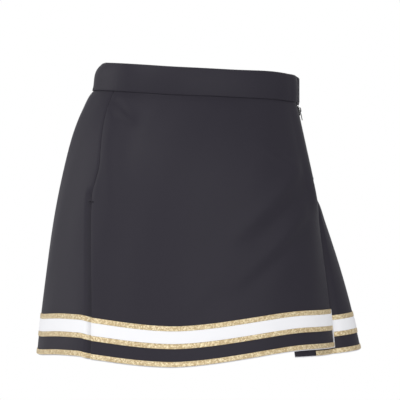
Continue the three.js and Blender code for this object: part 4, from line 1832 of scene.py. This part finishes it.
@dataclass
class Inside:
    """Hanger loops and the blank labels."""

    shape: SkirtShape
    wardrobe: Wardrobe
    loop_angle: float = 108
    loop_length: float = 80
    loop_width: float = 6
    bulge: float = 9
    ribbon: float = 0.8
    care: tuple[float, float] = (30, 52)
    size: tuple[float, float] = (18, 14)
    inner: float = -2.3

    def loop(self, side: Side) -> bpy.types.Object:
        """A ribbon folded into a long drop, its two ends sewn under the band.

        Args:
            side: Which loop.

        Returns:
            The piece.
        """
        shape = self.shape
        angle = side.value * math.radians(self.loop_angle)
        base = shape.point(Layer.FRONT, angle, -4.0, self.inner - 0.55, False)
        out = shape.normal(shape.front_form, np.array(angle), np.array(-20.0))
        out[2] = 0
        out = unit(out)
        along = np.cross([0, 0, 1.0], out)
        bottom, half = self.loop_length - 5, self.bulge / 2 + self.ribbon / 2
        drop = np.linspace(-0.6, bottom, 26)
        open_out = 0.5 + (half - 0.5) * smooth(2, bottom * 0.9, drop)
        arc = np.linspace(0, np.pi, 14)[1:-1]
        r = np.concatenate([open_out, half * np.cos(arc), -open_out[::-1]])
        d = np.concatenate([drop, bottom + half * np.sin(arc), drop[::-1]])
        path = base[None] + (r[:, None] - 0.9) * out - d[:, None] * np.array([0, 0, 1.0])
        tangent = unit(np.gradient(path, axis=0))
        normal = np.cross(tangent, along)
        w, h = self.loop_width / 2 - 0.1, self.ribbon / 2 - 0.06
        section = [(-w, 0), (-w + 0.15, h), (-w * 0.4, h), (w * 0.4, h), (w - 0.15, h),
                   (w, 0), (w - 0.15, -h), (w * 0.4, -h), (-w * 0.4, -h), (-w + 0.15, -h)]
        rings = np.stack([path + a * along + b * normal for a, b in section], axis=1)
        name = side.name.lower()
        obj = swept_profile(f"hanger_ribbon_{name}", rings)
        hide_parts(f"hanger_loop_{name}")
        return self.wardrobe.dress(obj, "ribbon", body=f"loop_{name}")

    def label(self, name: str, degrees: float, size: tuple[float, float], top: float,
              hangs: bool, node: str, body: str) -> bpy.types.Object:
        """A blank woven label, sewn flat or hanging by its top edge.

        Args:
            name: Name of the piece.
            degrees: Angle of its middle.
            size: Width and height.
            top: Depth of its top edge.
            hangs: Whether it hangs free below its seam.
            node: CAD node that it stands for.
            body: Body that it rides on.

        Returns:
            The piece.
        """
        shape = self.shape
        middle = math.radians(degrees)
        one, other = shape.front_form(middle + np.array([0.02, -0.02]), np.zeros(2))
        radius = float(np.linalg.norm(one - other) / 0.04)
        across = rounded_stations(-size[0] / 2, size[0] / 2, 1.5, 0.2)
        down = rounded_stations(0, size[1], 2, 0.2)
        u, v = np.meshgrid(across, down)
        edge = np.minimum(size[0] / 2 - np.abs(u), np.minimum(v, size[1] - v))
        top_z = float(shape.point(Layer.FRONT, middle, top, self.inner, False)[2])

        def place(a: Array, b: Array, out: Array) -> Array:
            """Points of the label.

            Args:
                a: Distance from its middle.
                b: Distance below its top edge.
                out: Distance from mid cloth.

            Returns:
                Points in millimetres.
            """
            angle = middle + a / radius
            sag = -0.2 - self.gap_below(b, size[1]) if hangs else -0.2
            row = np.full(a.shape, float(top)) if hangs else top + b
            point = shape.point(Layer.FRONT, angle, row, self.inner - 0.3 + out + sag,
                                False)
            if hangs:
                point[..., 2] = top_z - b
            return point

        obj = cloth_shell(name, place, across, down, 0.36, edge)
        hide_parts(node)
        return self.wardrobe.dress(obj, "label", body=body)

    @staticmethod
    def gap_below(b: Array, height: float) -> Array:
        """How far a hanging label curls in toward its free end."""
        return 1.6 * (np.clip(b / height, 0, 1)) ** 2

    def build(self) -> None:
        """Make the loops and labels."""
        for side in Side:
            LOG.info("inside: %s", self.loop(side).name)
        care = self.label("care_label_cloth", -140, self.care, -5, True, "care_label",
                          "care_flap")
        mid = -(self.shape.band_height + self.size[1]) / 2
        size = self.label("size_label_cloth", 180, self.size, mid, False, "size_label",
                          "skirt")
        LOG.info("inside: %s, %s", care.name, size.name)


# ---- studio --------------------------------------------------------------------------


@dataclass(frozen=True)
class Softbox:
    """One soft light: where it stands, its size, strength and colour."""

    name: str
    place: tuple[float, float, float]
    size: float
    watts: float
    colour: tuple[float, float, float] = (1, 1, 1)

    def light(self, target: Vector) -> None:
        """Set up the light.

        Args:
            target: Where it faces, in metres.
        """
        data = bpy.data.lights.new(self.name, "AREA")
        data.shape = "DISK"
        data.size = self.size
        data.energy = self.watts
        data.color = self.colour
        lamp = bpy.data.objects.new(self.name, data)
        lamp.location = self.place
        lamp.rotation_euler = (target - Vector(self.place)).to_track_quat(
            "-Z", "Y").to_euler()
        bpy.context.scene.collection.objects.link(lamp)


@dataclass
class Studio:
    """Camera, soft lights, white surround and the floor, in metres.

    The azimuth is in degrees from the front of the skirt; aim is how far the camera
    stands to its right of the middle.
    """

    azimuth: float = -24
    distance: float = 3.5
    height: float = -0.137
    aim: float = 0.0058
    lens: float = 239.7
    surround: float = 0.37
    floor_height: float = -0.62
    floor_radius: float = 1.5
    light_aim: tuple[float, float, float] = (0, 0, -0.15)
    lights: tuple[Softbox, ...] = (
        Softbox("softbox_front_left", (-1.6, -2.2, 2.0), 1.8, 37),
        Softbox("softbox_side", (-2.6, -1.6, 0.3), 2.4, 16),
        Softbox("softbox_front", (0.9, -3.1, 0.5), 1.8, 26),
        Softbox("softbox_left", (-2.6, 1.5, 0.5), 2.2, 24),
        Softbox("softbox_overhead", (0.2, 0.4, 2.4), 1.6, 14),
        Softbox("softbox_back", (1.2, 2.6, 0.9), 1.6, 14),
    )

    def camera(self) -> None:
        """Place the camera level with the middle of the skirt."""
        a = math.radians(self.azimuth)
        back = Vector((math.sin(a), -math.cos(a), 0))
        right = Vector((math.cos(a), math.sin(a), 0))
        data = bpy.data.cameras.new("camera")
        data.lens = self.lens
        data.sensor_width = 36
        data.clip_start, data.clip_end = 0.05, 60
        camera = bpy.data.objects.new("camera", data)
        camera.location = back * self.distance + right * self.aim + Vector(
            (0, 0, self.height))
        camera.rotation_mode = "QUATERNION"
        camera.rotation_quaternion = (-back).to_track_quat("-Z", "Y")
        bpy.context.scene.collection.objects.link(camera)
        bpy.context.scene.camera = camera

    def backdrop(self) -> None:
        """A white surround: brighter to the eye than as a light."""
        world = bpy.data.worlds.new("studio")
        world.use_nodes = True
        bench = NodeBench(world.node_tree)
        world.node_tree.nodes.clear()
        seen = bench.add("ShaderNodeBackground", Color=(1, 1, 1, 1), Strength=1.0)
        cast = bench.add("ShaderNodeBackground", Color=(0.98, 0.985, 1, 1),
                         Strength=self.surround)
        path = bench.add("ShaderNodeLightPath")
        mixer = bench.add("ShaderNodeMixShader")
        out = bench.add("ShaderNodeOutputWorld")
        bench.wire(path.outputs["Is Camera Ray"], mixer.inputs[0])
        bench.wire(cast.outputs[0], mixer.inputs[1])
        bench.wire(seen.outputs[0], mixer.inputs[2])
        bench.wire(mixer.outputs[0], out.inputs[0])
        bpy.context.scene.world = world

    def floor(self) -> None:
        """A round pale floor well below the hem."""
        radius, corners = self.floor_radius, 96
        turn = np.linspace(0, 2 * np.pi, corners, endpoint=False)
        rim = np.stack([radius * np.cos(turn), radius * np.sin(turn),
                        np.full(corners, self.floor_height)], axis=-1)
        mesh = bpy.data.meshes.new("studio_floor")
        mesh.from_pydata(rim.tolist(), [], [tuple(range(corners))])
        obj = bpy.data.objects.new("studio_floor", mesh)
        material = bpy.data.materials.new("pale_floor")
        material.use_nodes = True
        shader = material.node_tree.nodes["Principled BSDF"]
        shader.inputs["Base Color"].default_value = (0.86, 0.86, 0.87, 1)
        shader.inputs["Roughness"].default_value = 0.8
        mesh.materials.append(material)
        bpy.context.scene.collection.objects.link(obj)

    def build(self) -> None:
        """Set up everything that isn't the skirt."""
        bpy.context.scene.view_settings.view_transform = "Standard"
        self.camera()
        self.backdrop()
        self.floor()
        for softbox in self.lights:
            softbox.light(Vector(self.light_aim))


def main() -> None:
    """Build the studio and the skirt, piece by piece."""
    logging.basicConfig(level=logging.INFO, format="%(name)s: %(message)s")
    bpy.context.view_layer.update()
    Studio().build()
    shape, wardrobe = SkirtShape(), Wardrobe()
    Panels(shape, wardrobe).build()
    Waistband(shape, wardrobe).build()
    Zip(shape, wardrobe).build()
    Inside(shape, wardrobe).build()
    LOG.info("all pieces made")


if __name__ == "__main__":
    main()
